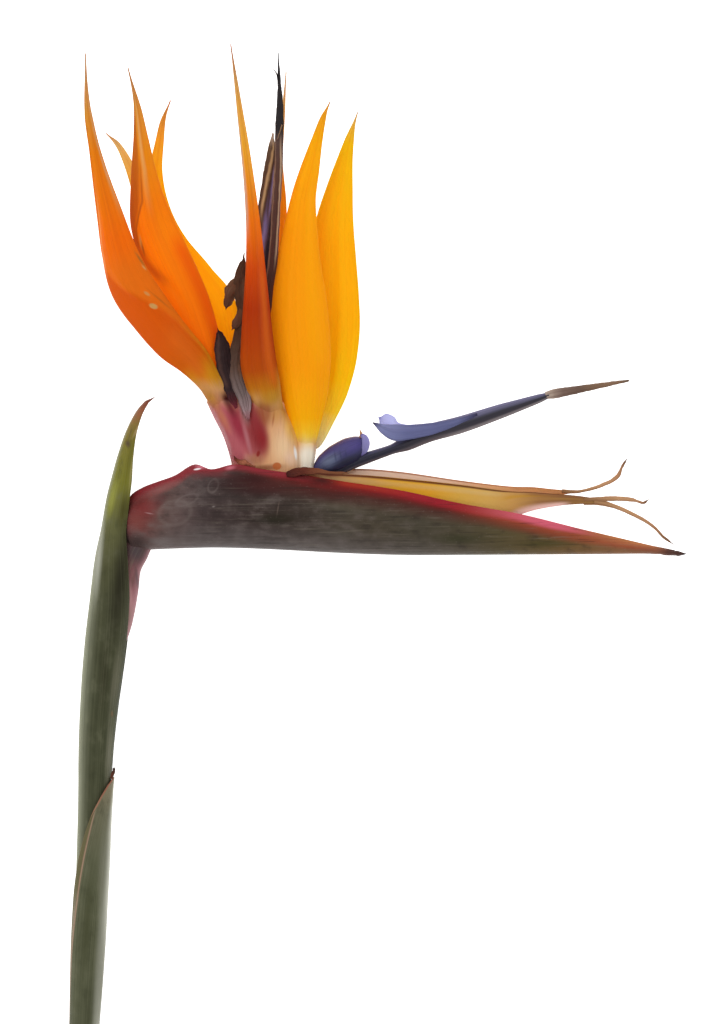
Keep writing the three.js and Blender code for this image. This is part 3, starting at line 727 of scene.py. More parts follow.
@dataclass(frozen=True)
class BeakSkin:
    """The beak's skin: dark and mottled with a grey bloom, and crimson to pink along its rim."""

    body: Run = (
        (0, 0x643434), (0.036, 0x683E3A), (0.071, 0x5C4844), (0.107, 0x564644), (0.137, 0x403433),
        (0.185, 0x3C302E), (0.238, 0x362A26), (0.31, 0x3A302A), (0.38, 0x463E34), (0.452, 0x463E32),
        (0.524, 0x443E32), (0.595, 0x484030), (0.667, 0x50462E), (0.738, 0x5C4C30), (0.81, 0x6E5232),
        (0.88, 0x7E583C), (0.945, 0x7C523E), (0.965, 0x54362E), (1, 0x3E2A26),
    )
    first_x: float = -4.0
    last_x: float = 164.0
    patches: tuple[Patch, ...] = ovals(
        (0x2C241C, 44, 13, 12, 3, -4, 0.8), (0x54504A, 58, 8, 12, 2.6, -2, 0.2),
        (0x726866, 7, 5.6, 5, 2, 0, 0.6), (0x544E40, 62, 16, 12, 2.4, -3, 0.5),
        (0x722A2A, 1.2, 15.4, 8.6, 6, 34, 0.85), (0x462226, 7, 18.4, 4, 2.6, 30, 0.5),
        (0x743C36, -0.8, 11.6, 4.4, 4.6, 0, 0.7), (0xA88484, 3.2, 14, 2, 0.3, -10, 0.6),
        (0x3A2E2C, -0.6, 5.4, 6.5, 4.2, -10, 0.9), (0x746862, 10.9, 14.2, 4.8, 3.6, 15, 0.22, 1, 0.24),
        (0x726662, 14.4, 18, 3.4, 1.4, 20, 0.26, 1, 0.3),
        (0x6E625E, 22.3, 22.2, 1.4, 2.1, -25, 0.34, 1, 0.34), (0x746258, 41.6, 15.5, 3.6, 0.35, 80, 0.4),
        (0x968A86, 22.4, 16, 0.7, 0.35, 10, 0.7), (0x222014, 40, 12, 9, 2.4, -2, 0.7),
        (0x321A1A, 34, 22.4, 16, 4.4, -5, 0.9, 0.7), (0x321816, 56, 21, 13, 4.2, -8, 0.9, 0.8),
        (0x30321E, 96, 6.4, 12, 2.6, 0, 0.6), (0x363616, 122, 5, 14, 1.8, 0, 0.6),
    )
    rim_patches: tuple[Patch, ...] = ovals(
        (0x845250, 6.8, 21.4, 9, 1.9, 22, 0.85), (0x602E30, 23, 25.6, 7.6, 1.6, -4, 0.8),
        # The pink ovals at (18.6, 27.9) and (27.4, 27.6) are painted highlights on the rim, and the
        # near-white one at (17.4, 27.2) is a painted glint
        (0x5E383A, 18, 25, 4, 1.6, 10, 0.7), (0xCE7484, 18.6, 27.9, 2.6, 1.1, 0, 0.9),
        (0xC46876, 27.4, 27.6, 2.4, 1, 10, 0.9), (0xF4ECEE, 17.4, 27.2, 1.4, 0.35, 8, 0.9, 0.5),
        (0x4C1C18, 48, 25.4, 5, 2, -8, 0.9), (0x3E1616, 54.6, 23.8, 8, 2.2, -8, 0.95),
        (0x321414, 34, 24.2, 8, 2.6, -5, 0.8),
    )
    # The rim's colours as runs of (along, across) above which they show
    band: tuple[Tint, ...] = (
        Tint(0x4C201C, ((0.46, 0.4), (0.56, 0.375), (0.66, 0.36), (0.75, 0.33), (0.83, 0.24)),
             0.075, 0.85, Where.HIGHER),
        Tint(0x701818, ((0.5, 0.47), (0.56, 0.45), (0.61, 0.44), (0.667, 0.43), (0.722, 0.415),
                             (0.77, 0.39)), 0.04, 1, Where.HIGHER),
        Tint(0x9C2C1C, ((0.56, 0.485), (0.61, 0.475), (0.66, 0.468), (0.7, 0.465)), 0.02, 0.9, Where.HIGHER),
        Tint(0x941E2A, ((0.66, 0.455), (0.722, 0.435), (0.778, 0.395), (0.81, 0.36)),
             0.03, 0.9, Where.HIGHER),
        Tint(0x9C482E, ((0.74, 0.37), (0.778, 0.33), (0.833, 0.25), (0.889, 0.2), (0.944, 0.16)),
             0.09, 0.7, Where.HIGHER),
        Tint(0xCE5C70, ((0.76, 0.43), (0.778, 0.42), (0.805, 0.4), (0.84, 0.41)),
             0.04, 0.95, Where.HIGHER),
        Tint(0xA86440, ((0.85, 0.36), (0.889, 0.32), (0.944, 0.3)), 0.1, 0.85, Where.HIGHER),
        Tint(0xB47448, ((0.86, 0.46), (0.9, 0.44), (0.95, 0.42)), 0.05, 0.8, Where.HIGHER),
    )
    mottle: Grain = Grain((260, 420, 300), 2, 4)
    mottle_depth: float = 0.25
    dull: tuple[float, float] = (0.25, 0.36)  # what the mottle adds to the roughness, and the least
    bloom: Stain = Stain(0x706460, 0.45, 0.75, 0.35)
    bloom_ends: tuple[float, float] = (120.0, 40.0)  # along the beak, where it is gone and where full
    dark: Stain = Stain(0x28201E, 0.5, 0.25, 0.45)
    # Painted highlight: the keel is made lighter grey where light from below catches the bottom edge
    keel: Stain = Stain(0x605856, 0.2, 0.03, 0.75)  # by the place across
    keel_light_mottle: tuple[float, float] = (0.9, 0.35)
    keel_light_ends: tuple[float, float] = (122.0, 50.0)
    fibres: Grain = Grain((70, 1900, 900), 6, 3)
    fibre_depth: float = 0.16
    fibre_ends: tuple[float, float] = (-4.0, 30.0)
    light_fibres: Stain = Stain(0x766E60, 0.56, 0.76, 0.32)
    light_below: tuple[float, float] = (0.42, 0.34)
    dark_fibres: Stain = Stain(0x221C18, 0.44, 0.26, 0.45)
    specks: Grain = Grain((1500, 2400, 1500), 9, 2)
    speck: Stain = Stain(0x8C807A, 0.64, 0.76, 0.16)
    rim: Rgb = 0x882A32
    rim_strength: float = 0.9
    rim_ends: tuple[float, float] = (54.0, 48.0)
    rim_level: float = 0.4  # the across value where the rim's colour starts at the heel
    rim_narrowing: float = 0.05
    rim_narrows: tuple[float, float] = (4.0, 22.0)
    rim_full: float = 0.492

    def make(self) -> Material:
        """Builds the beak's finish.

        Returns:
            The material.
        """
        recipe = Recipe("beak_skin")
        x, _ = recipe.ruler()
        colour = recipe.colours(recipe.share(x, self.first_x, self.last_x), self.body)
        mottle = recipe.grain(recipe.place, self.mottle)
        colour = self.bloom.lay(recipe, mottle, colour, recipe.rise(x, *self.bloom_ends))
        colour = self.dark.lay(recipe, mottle, colour)
        ragged = recipe.math("MULTIPLY_ADD", mottle, *self.keel_light_mottle)
        # a painted highlight along the keel
        colour = self.keel.lay(recipe, recipe.across, colour, ragged, recipe.rise(x, *self.keel_light_ends))
        colour = recipe.laid(self.patches + self.band, colour)
        colour = recipe.laid(self.rim_patches, self._rim(recipe, colour, x))
        fibres = recipe.grain(recipe.place, self.fibres)
        fibrous = recipe.rise(x, *self.fibre_ends)
        below_rim = recipe.rise(recipe.across, *self.light_below)
        colour = self.light_fibres.lay(recipe, fibres, colour, fibrous, below_rim)
        colour = self.dark_fibres.lay(recipe, fibres, colour, fibrous)
        colour = self.speck.lay(recipe, recipe.grain(recipe.place, self.specks), colour)
        normal = recipe.bump(fibres, self.fibre_depth, recipe.bump(mottle, self.mottle_depth))
        roughness = recipe.math("MULTIPLY_ADD", mottle, *self.dull)
        return recipe.finish(colour, roughness, normal, shine=0.08)

    def _rim(self, recipe: Recipe, below: object, x: object) -> object:
        """Colours the rim of the heel's half.

        Args:
            recipe: The recipe that the nodes go into.
            below: The colour below.
            x: The place along the beak.

        Returns:
            The coloured socket.
        """
        near_heel = recipe.rise(x, *self.rim_ends)
        narrowed = recipe.rise(x, *self.rim_narrows)
        lower = recipe.math("MULTIPLY_ADD", narrowed, self.rim_narrowing, self.rim_level)
        mask = recipe.math("MULTIPLY", recipe.rise(recipe.across, lower, self.rim_full), near_heel)
        return recipe.veil(mask, self.rim_strength, below, self.rim)


@dataclass(frozen=True)
class GreenSkin:
    """The skin of the stalk or of a sheath: colours by height, a pale left edge painted on as a highlight,
    and its own marks.
    """

    name: str
    run: Run
    marks: tuple = ()
    # The pale edge is a painted highlight, where the rounded side catches the light
    edge: Rgb = 0xACACA0
    highlight_across: float = 0.5  # the across value of the pale edge
    highlight_width: float = 0.13
    highlight_strength: float = 0.8
    margin: Path = ()  # the front margin's share of the width, along the sheath
    margin_run: Run = ((0, 0xAA9280), (0.6, 0x96745C), (0.75, 0x946A54), (0.96, 0x8E5440))
    margin_edge: float = 0.008
    lowest: float = -186.0
    highest: float = 50.0
    mottle: Grain = Grain((340, 170, 340), 1, 4)
    mottling: tuple[Stain, ...] = (
        Stain(0x686852, 0.5, 0.74, 0.35), Stain(0x2C2E1C, 0.5, 0.26, 0.35))
    mottle_depth: float = 0.2
    veins: Grain = Grain((120, 2, 1), 7, 2)
    veining: tuple[Stain, ...] = (
        Stain(0x74745C, 0.5, 0.72, 0.18), Stain(0x282A1A, 0.5, 0.3, 0.18))
    vein_depth: float = 0.12
    dull: tuple[float, float] = (0.25, 0.38)  # what the mottle adds to the roughness, and the least

    def make(self) -> Material:
        """Builds the skin's finish.

        Returns:
            The material.
        """
        recipe = Recipe(self.name)
        _, height = recipe.ruler()
        colour = recipe.colours(recipe.share(height, self.lowest, self.highest), self.run)
        from_edge = recipe.math("ABSOLUTE", recipe.math("SUBTRACT", recipe.across, self.highlight_across))
        mottle = recipe.grain(recipe.place, self.mottle)
        for stain in self.mottling:
            colour = stain.lay(recipe, mottle, colour)
        # a painted highlight along the edge
        pale = Stain(self.edge, self.highlight_width, 0.0, self.highlight_strength)
        colour = recipe.laid(self.marks, pale.lay(recipe, from_edge, colour))
        veins = recipe.grain(recipe.run, self.veins)
        for stain in self.veining:
            colour = stain.lay(recipe, veins, colour)
        if self.margin:
            reach = recipe.math("SUBTRACT", recipe.math("SUBTRACT", 1.0, recipe.across),
                                recipe.follow(recipe.along, self.margin))
            line = recipe.colours(recipe.along, self.margin_run)
            colour = recipe.mix(recipe.rise(reach, self.margin_edge, -self.margin_edge), colour, line)
        normal = recipe.bump(veins, self.vein_depth, recipe.bump(mottle, self.mottle_depth))
        roughness = recipe.math("MULTIPLY_ADD", mottle, *self.dull)
        return recipe.finish(colour, roughness, normal, shine=0.08)


@dataclass(frozen=True)
class DryFinish:
    """A dried petal or bract: two streaked colours along it, and its own marks."""

    name: str
    run: Run
    streak: Rgb
    streak_strength: float = 0.6
    marks: tuple = ()
    by_place: tuple[float, float] | None = None  # the run lies between these places along the beak
    roughness: float = 0.6
    glow: float = 0.0
    strand: float = 26.0  # how many strands lie side by side

    STRANDS = Grain((1, 1.6, 1), 2.6, 3)
    STREAK_SPAN = (0.45, 0.72)
    STRAND_DEPTH = 0.35
    WRINKLES = Grain((900, 900, 900), 3, 3)
    WRINKLE_DEPTH = 0.15

    def make(self) -> Material:
        """Builds the dry finish.

        Returns:
            The material.
        """
        recipe = Recipe(self.name)
        where = recipe.along
        if self.by_place is not None:
            where = recipe.share(recipe.ruler()[0], *self.by_place)
        colour = recipe.colours(where, self.run)
        grain = replace(self.STRANDS, scale=(self.strand, *self.STRANDS.scale[1:]))
        strands = recipe.grain(recipe.run, grain)
        streak = Stain(self.streak, *self.STREAK_SPAN, self.streak_strength)
        colour = recipe.laid(self.marks, streak.lay(recipe, strands, colour))
        wrinkles = recipe.grain(recipe.place, self.WRINKLES)
        normal = recipe.bump(wrinkles, self.WRINKLE_DEPTH, recipe.bump(strands, self.STRAND_DEPTH))
        return recipe.finish(colour, self.roughness, normal, shine=0.1, glow=self.glow)


@dataclass(frozen=True)
class RoundFinish:
    """A round limb's skin: colours from its lower edge over the front to its upper edge."""

    name: str
    around: Run  # 0 is the lower edge and 0.5 the upper one
    marks: tuple = ()
    streak: Rgb = 0x181622
    streak_strength: float = 0.4
    roughness: float = 0.42

    STRANDS = Grain((44, 2.2, 1), 1.6, 3)
    STREAK_SPAN = (0.48, 0.72)
    STRAND_DEPTH = 0.18

    def make(self) -> Material:
        """Builds the round limb's finish.

        Returns:
            The material.
        """
        recipe = Recipe(self.name)
        colour = recipe.colours(recipe.math("PINGPONG", recipe.across, 0.5), self.around)
        colour = recipe.laid(self.marks, colour)
        strands = recipe.grain(recipe.run, self.STRANDS)
        streak = Stain(self.streak, *self.STREAK_SPAN, self.streak_strength)
        colour = streak.lay(recipe, strands, colour)
        normal = recipe.bump(strands, self.STRAND_DEPTH)
        return recipe.finish(colour, self.roughness, normal, shine=0.2)


# Forms shared by the pieces


@dataclass(frozen=True)
class Pleat:
    """A fold that runs along a blade: a rise, or a groove where its height is negative."""

    path: Path  # points of (along, across), across from -1 to 1
    width: float  # half width, as a share of half the blade
    height: float

    END_RUN = 0.08  # the share of the blade over which it starts and ends

    def lift(self, t: float, u: float) -> float:
        """Gives how far the fold stands out at a place of the blade.

        Args:
            t: How far along the blade, from 0 to 1.
            u: How far across it, from -1 to 1.

        Returns:
            The rise in millimetres.
        """
        if not self.path[0][0] <= t <= self.path[-1][0]:
            return 0.0
        for (t0, u0), (t1, u1) in zip(self.path, self.path[1:]):
            if t0 <= t <= t1:
                middle = u0 + (u1 - u0) * (t - t0) / (t1 - t0)
                from_end = min(t - self.path[0][0], self.path[-1][0] - t)
                ends = max(0.0, min(1.0, from_end / self.END_RUN))
                return self.height * ends * math.exp(-((u - middle) / self.width) ** 2)
        return 0.0


@dataclass
class Blade:
    """A thin keeled blade along rows of [x, y, z, width, keel, roll], from its root to its tip."""

    name: str
    rows: Rows
    wave: float = 0.0
    ridge: float = 0.9  # thickness along the midrib
    margin: float = 0.42  # thickness beside the margins
    pleats: tuple[Pleat, ...] = ()
    crumple: float = 0.0  # how far a withered blade's surface strays
    taper: float = 0.6  # share of the width that the last stretch loses
    columns: int = 28
    steps: int = 90

    KEEL_ROUNDNESS = 1.4
    KEELED_WIDTH = 5.0
    WAVED_WIDTH = 8.0
    WAVES = 2
    OUT_OF_STEP = 0.9
    LEAST_WIDTH = 0.8
    TIP_RUN = 0.7
    TAPER_FROM = 0.9
    ROUND_FROM = 0.93  # how far out the margin's rounding starts
    LEAST_ROUNDING = 0.12
    CRUMPLE_SCALE = 0.45
    WRINKLE_SCALE = 1.3
    WRINKLE_SHARE = 0.4

    def _section(self, station: Station) -> list[Vector]:
        """Makes one ring, along one face and back along the other.

        Args:
            station: Where the ring lies.

        Returns:
            The ring's points.
        """
        width, keel, roll = station.sizes
        side, out = station.axes(roll)
        breadth = max(width, self.LEAST_WIDTH) * (1 - self.taper * smooth(self.TAPER_FROM, 1.0, station.t))
        height = keel * min(1.0, breadth / self.KEELED_WIDTH)
        shares = [math.sin(math.pi / 2 * (2 * i / self.columns - 1)) for i in range(self.columns + 1)]
        line = [self._middle(station.t, u, breadth, height) for u in shares]
        top, bottom = [], []
        for i, u in enumerate(shares):
            run = (line[min(i + 1, self.columns)] - line[max(i - 1, 0)]).normalized()
            normal = Vector((-run.y, run.x))
            outer = max(0.0, (abs(u) - self.ROUND_FROM) / (1 - self.ROUND_FROM))
            rounding = max(math.sqrt(max(0.0, 1 - outer ** 2)), self.LEAST_ROUNDING)
            half = (self.ridge + (self.margin - self.ridge) * abs(u)) / 2 * rounding
            for face, sign in ((top, 1), (bottom, -1)):
                point = line[i] + normal * half * sign
                place = station.place + side * point.x + out * point.y
                face.append(place + self._stray(place))
        return top + bottom[::-1]

    def _middle(self, t: float, u: float, breadth: float, height: float) -> Vector:
        """Gives the middle of the blade's thickness.

        Args:
            t: How far along the blade.
            u: How far across it, from -1 to 1.
            breadth: The blade's width there.
            height: The keel's height there.

        Returns:
            The place in the section's own plane.
        """
        phase = 2 * math.pi * self.WAVES * t + (self.OUT_OF_STEP if u > 0 else 0)
        ripple = self.wave * min(1.0, breadth / self.WAVED_WIDTH) * u * abs(u) * math.sin(phase)
        folds = sum(pleat.lift(t, u) for pleat in self.pleats) * min(1.0, breadth / self.WAVED_WIDTH)
        return Vector((u * breadth / 2, height * (1 - abs(u) ** self.KEEL_ROUNDNESS) + ripple + folds))

    def _stray(self, place: Vector) -> Vector:
        """Finds how far a point of a withered blade strays from its smooth place.

        Args:
            place: The smooth place.

        Returns:
            The way from there.
        """
        if self.crumple == 0:
            return Vector()
        coarse = noise.noise_vector(place * self.CRUMPLE_SCALE)
        fine = noise.noise_vector(place * self.WRINKLE_SCALE)
        return (coarse + fine * self.WRINKLE_SHARE) * self.crumple

    def build(self) -> Piece:
        """Makes the blade's mesh.

        Returns:
            Its object.
        """
        stations = Course(self.rows).stations(self.steps)
        half = [i / self.columns for i in range(self.columns + 1)]
        last = stations[-1]
        return Skin(
            rings=[self._section(station) for station in stations],
            along=[station.t for station in stations],
            across=half + half[::-1],
            start=stations[0].place,
            end=last.place + last.tangent * self.TIP_RUN,
        ).build(self.name)


@dataclass
class Limb:
    """A round or oval limb along rows of [x, y, z, half height, half depth]."""

    name: str
    rows: Rows
    sides: int = 28
    steps: int = 60
    end_run: float = 0.6
    crease: float = 180.0
    strays: float = 0.0
    grooves: tuple[tuple[float, float, float], ...] = ()  # angle in degrees, half width, share of depth

    STRAY_SCALE = 0.8

    def build(self) -> Piece:
        """Makes the limb's mesh.

        Returns:
            Its object.
        """
        stations = Course(self.rows).stations(self.steps)
        last = stations[-1]
        return Skin(
            rings=[self._ring(station) for station in stations],
            along=[station.t for station in stations],
            across=[i / self.sides for i in range(self.sides)],
            wrap=1.0,
            end=last.place + last.tangent * self.end_run,
            crease=self.crease,
        ).build(self.name)

    def _ring(self, station: Station) -> list[Vector]:
        """Makes one oval ring of the limb.

        Args:
            station: Where the ring lies.

        Returns:
            The ring's points.
        """
        side, out = station.axes()
        half_height, half_depth, _ = station.sizes
        ring = []
        for i in range(self.sides):
            angle = 2 * math.pi * i / self.sides
            share = 1.0
            for middle, width, depth in self.grooves:
                gap = (math.degrees(angle) - middle + 180) % 360 - 180
                share -= depth * math.exp(-(gap / width) ** 2)
            place = (station.place + side * half_height * share * math.cos(angle)
                     + out * half_depth * share * math.sin(angle))
            ring.append(place + noise.noise_vector(place * self.STRAY_SCALE) * self.strays)
        return ring


# The flower's sub-assemblies


@dataclass
class Stem:
    """The stalk with the two sheaths wrapped round it."""

    stalk: Rows = (
        (-19.5, -184.2, 4.5, 2.5, 2.5), (-16.9, -139.2, 5.9, 2.6, 2.6), (-15.2, -102, 6.6, 3, 3),
        (-13.9, -72, 7.2, 3.3, 3.3), (-12, -42, 7.9, 4, 3.9), (-9.2, -27, 8.3, 4.1, 4),
        (-6.8, -18, 8.5, 4.6, 3.8), (-4.9, -9, 8.7, 4.4, 3.7), (-3.8, -2.5, 8.8, 4.1, 3.6),
        (-2, 2.5, 8.8, 4.6, 3.7), (0.6, 7, 8.8, 4, 3.5),
    )
    # Sheaths: rows of [x, y, z of the middle, radius, half angle that is covered in degrees]
    upper: Rows = (
        (-19.5, -184.2, 4.5, 3.5, 174), (-16.9, -139.2, 5.9, 3.6, 174), (-15.2, -102, 6.6, 4.4, 174),
        (-14.3, -78, 7.1, 4.55, 174), (-13.7, -66, 7.3, 4.95, 174), (-13.1, -54, 7.6, 5.4, 172),
        (-12.1, -42, 7.9, 5.85, 170), (-10.4, -27, 8.3, 6.45, 162), (-8.5, -12, 8.7, 6.6, 148),
        (-7.3, 0, 8.8, 6.3, 130), (-5.8, 9, 8.8, 5.9, 110), (-4.2, 18, 8.9, 5.9, 104),
        (-3, 24, 9, 5.6, 100), (-1.7, 31, 9.2, 4.95, 91), (-0.3, 38, 9.4, 3.9, 84),
        (1.4, 43.5, 9.6, 2.8, 80), (3.1, 47, 9.8, 1.7, 76),
    )
    upper_tip: Vector = field(default_factory=lambda: Vector((4.9, 49.1, 10)))
    lower: Rows = (
        (-19.5, -184.2, 4.5, 4.5, 172), (-16.9, -139.2, 5.9, 4.6, 172), (-16, -120, 6.3, 5.2, 166),
        (-15.2, -102, 6.6, 5.45, 154), (-14.7, -90, 6.8, 5.6, 132), (-14.4, -81, 7, 5.66, 107),
        (-14.2, -75, 7.1, 5.75, 86), (-14, -70.5, 7.2, 5.85, 64), (-13.9, -67, 7.3, 5.98, 40),
        (-13.8, -65, 7.35, 6.06, 16),
    )
    # The lower sheath's dry point: rows of [x, y, z, width, keel, roll]
    stub: Rows = (
        (-8.6, -65.6, 9.4, 0.9, 0), (-8.2, -64.2, 9.6, 1.1, 0, 10), (-7.9, -63.2, 9.6, 0.8, 0),
        (-7.8, -62.4, 9.6, 0.5, 0),
    )
    wall: float = 0.65
    margin_wall: float = 0.25
    least_bore: float = 0.3
    half_columns: int = 30
    wrapped: float = 145.0  # cover above which a bract is closed round the stalk
    free: float = 105.0  # cover below which it stands free
    wall_power: float = 4.0  # how late the wall thins towards its margins
    point_size: float = 0.02  # the last ring's size at the free point
    stub_finish: DryFinish = DryFinish("sheath_stub", ((0, 0x784634), (1, 0x3A2420)), 0x281A18)
    # Green below, mauve and pink where it shows under the beak, darkened just under the heel as painted
    # shade, with a painted highlight down the pink side and a pale right edge painted as a highlight
    stalk_finish: GreenSkin = GreenSkin(
        "stalk_green",
        # the dark stop at 0.8 is painted shade just under the heel
        ((0, 0x8C9674), (0.55, 0x766E5A), (0.7, 0x967670), (0.74, 0x926064), (0.78, 0x764A4E),
         (0.8, 0x583E40), (0.82, 0x704242)),
        marks=ovals(
            # the pale pink stripe at (-3.2, -11) is a painted highlight, and the dark oval at (-0.8, 2.6) is
            # painted shade under the heel
            (0xC08C8E, -3.2, -11, 1.8, 8, 4, 0.8), (0x963C42, -4.6, -2, 0.8, 12, 4, 0.8),
            (0x4A4042, -0.8, 2.6, 4.4, 5.6, 0, 0.9), (0x4E4044, -0.7, -6, 0.9, 6.5, 8, 0.6),
        ),
        edge=0xB08086, highlight_across=0.02, highlight_width=0.14, highlight_strength=0.8)
    # Grey-green, yellow-green above, with a dry brown point, a painted highlight down its pale left edge and
    # painted shade down its right side
    upper_finish: GreenSkin = GreenSkin(
        "upper_sheath_green",
        ((0, 0x545640), (0.3, 0x4C4E38), (0.5, 0x444632), (0.62, 0x424430), (0.737, 0x444530),
         (0.79, 0x4E4E32), (0.838, 0x5C5C36), (0.864, 0x66652A), (0.889, 0x706E22), (0.928, 0x726C26),
         (0.96, 0x7E6830), (0.974, 0x925838), (0.988, 0x7C4230), (1, 0x4A2822)),
        marks=ovals(
            # the pale grey oval at (-12.2, 0) is a painted highlight on the left edge, and the dark one at
            # (-5.4, -6) is painted shade on the right side
            (0xA6A698, -12.2, 0, 1.8, 17, -5, 0.75), (0x222014, -5.4, -6, 4.2, 27, -7, 0.9),
            (0x2C2A1A, -10.4, -34, 2.4, 18, -3, 0.5), (0x403C14, -4.6, 15, 2.2, 8, -10, 0.85),
            (0x62604E, -7.2, -36, 1.8, 16, -8, 0.8), (0x706E5C, -9.2, -58, 1.3, 16, -3, 0.7),
            (0x8C8D3C, -8, 18.6, 1.9, 9, -13, 0.85), (0x605C1E, -2.6, 31, 1.4, 12, -10, 0.6),
            (0x4E3E2C, -3.4, 34.8, 1.1, 1.6, 20, 0.85, 0.8), (0x56462E, -2.6, 38, 0.5, 3, -18, 0.5),
            (0x968C5A, -2.4, 26, 0.5, 9, -6, 0.7), (0x78583C, -8.2, -46, 0.5, 1.6, 0, 0.6),
            (0xB29870, -0.2, 39.8, 0.7, 5, -28, 0.8),
        ),
        edge=0x989A82, highlight_width=0.24, highlight_strength=0.85)
    # Mottled grey-green with a tan margin and a pale edge painted as a highlight
    lower_finish: GreenSkin = GreenSkin(
        "lower_sheath_green",
        ((0, 0x525440), (0.3, 0x52543E), (0.4, 0x565842), (0.47, 0x686650), (0.52, 0x867A60)),
        marks=ovals(
            (0x707060, -11.6, -128, 2.4, 34, -3, 0.8), (0x70705E, -11, -92, 2, 20, -3, 0.8),
            (0x42442C, -15.6, -108, 1.9, 24, -4, 0.7), (0x40422E, -15.4, -138, 1.9, 20, -4, 0.7),
        ) + (
            Tint(0x645E40, ((0, 0.985), (0.111, 0.975), (0.222, 0.958), (0.333, 0.922), (0.444, 0.924),
                            (0.556, 0.939), (0.66, 0.965)), 0.006, 0.9, Where.HIGHER, 0.03),
            Tint(0x9E806C, ((0, 0.99), (0.111, 0.982), (0.222, 0.962), (0.333, 0.922), (0.444, 0.924),
                            (0.556, 0.939), (0.66, 0.965)), 0.018, 0.9, Where.BAND, 0.03),
            Tint(0x968674, ((0, 0.99), (0.111, 0.985), (0.222, 0.98), (0.333, 0.95)), 0.03, 0.7),
        ),
        edge=0xC4C4B6, highlight_across=0.5, highlight_width=0.21, highlight_strength=0.95,
        margin=((0, 0), (0.62, 0), (0.7, 0.03), (0.78, 0.036), (0.89, 0.06), (1, 0.14)))

    def _sheath(self, name: str, rows: Rows, back: float, steps: int, tip: Vector | None,
                far_trim: float = 0.0) -> Piece:
        """Wraps one bract round the stalk.

        Args:
            name: The object's name.
            rows: The bract's rows.
            back: The direction of its midrib round the stalk, in degrees from the beak's.
            steps: How many rings it has beyond the first.
            tip: The point that it ends in, or None where it ends straight across.
            far_trim: The share of its cover that the far margin lacks where the bract stands free.

        Returns:
            The sheath's object.
        """
        rings, along = [], []
        columns = range(-self.half_columns, self.half_columns + 1)
        for station in Course(rows).stations(steps):
            side, out = station.axes()
            radius, cover, _ = station.sizes
            outer, inner = [], []
            far_cover = cover * (1 - far_trim * smooth(self.wrapped, self.free, cover))
            for i in columns:
                share = abs(i) / self.half_columns
                angle = math.radians(back + (far_cover if i > 0 else cover) * i / self.half_columns)
                spoke = side * math.cos(angle) + out * math.sin(angle)
                wall = self.wall + (self.margin_wall - self.wall) * share ** self.wall_power
                outer.append(station.place + spoke * radius)
                inner.append(station.place + spoke * max(radius - wall, self.least_bore))
            rings.append(outer + inner[::-1])
            along.append(station.t)
        if tip is not None:
            rings.append([tip + (point - tip) * self.point_size for point in rings[-1]])
            along.append(1.0)
        half = [i / (2 * self.half_columns) for i in range(2 * self.half_columns + 1)]
        return Skin(rings, along, half + half[::-1], wall_ends=True, crease=60).build(name)

    def build(self) -> None:
        """Makes and dresses the stalk and its sheaths."""
        stalk = Limb("stalk_looks", self.stalk, sides=40, steps=90, end_run=0.4, crease=50).build()
        dress(stalk, self.stalk_finish.make(), "stem_green", "stem")
        upper = self._sheath("upper_sheath_looks", self.upper, 180, 150, self.upper_tip, far_trim=0.16)
        dress(upper, self.upper_finish.make(), "sheath_green", "sheath_upper")
        lower = self._sheath("lower_sheath_looks", self.lower, 0, 110, None)
        dress(lower, self.lower_finish.make(), "sheath_green", "sheath_lower")
        stub = Blade("sheath_stub_looks", self.stub, ridge=0.4, margin=0.3, crumple=0.2, columns=6, steps=16)
        dress(stub.build(), self.stub_finish.make(), "sheath_green")


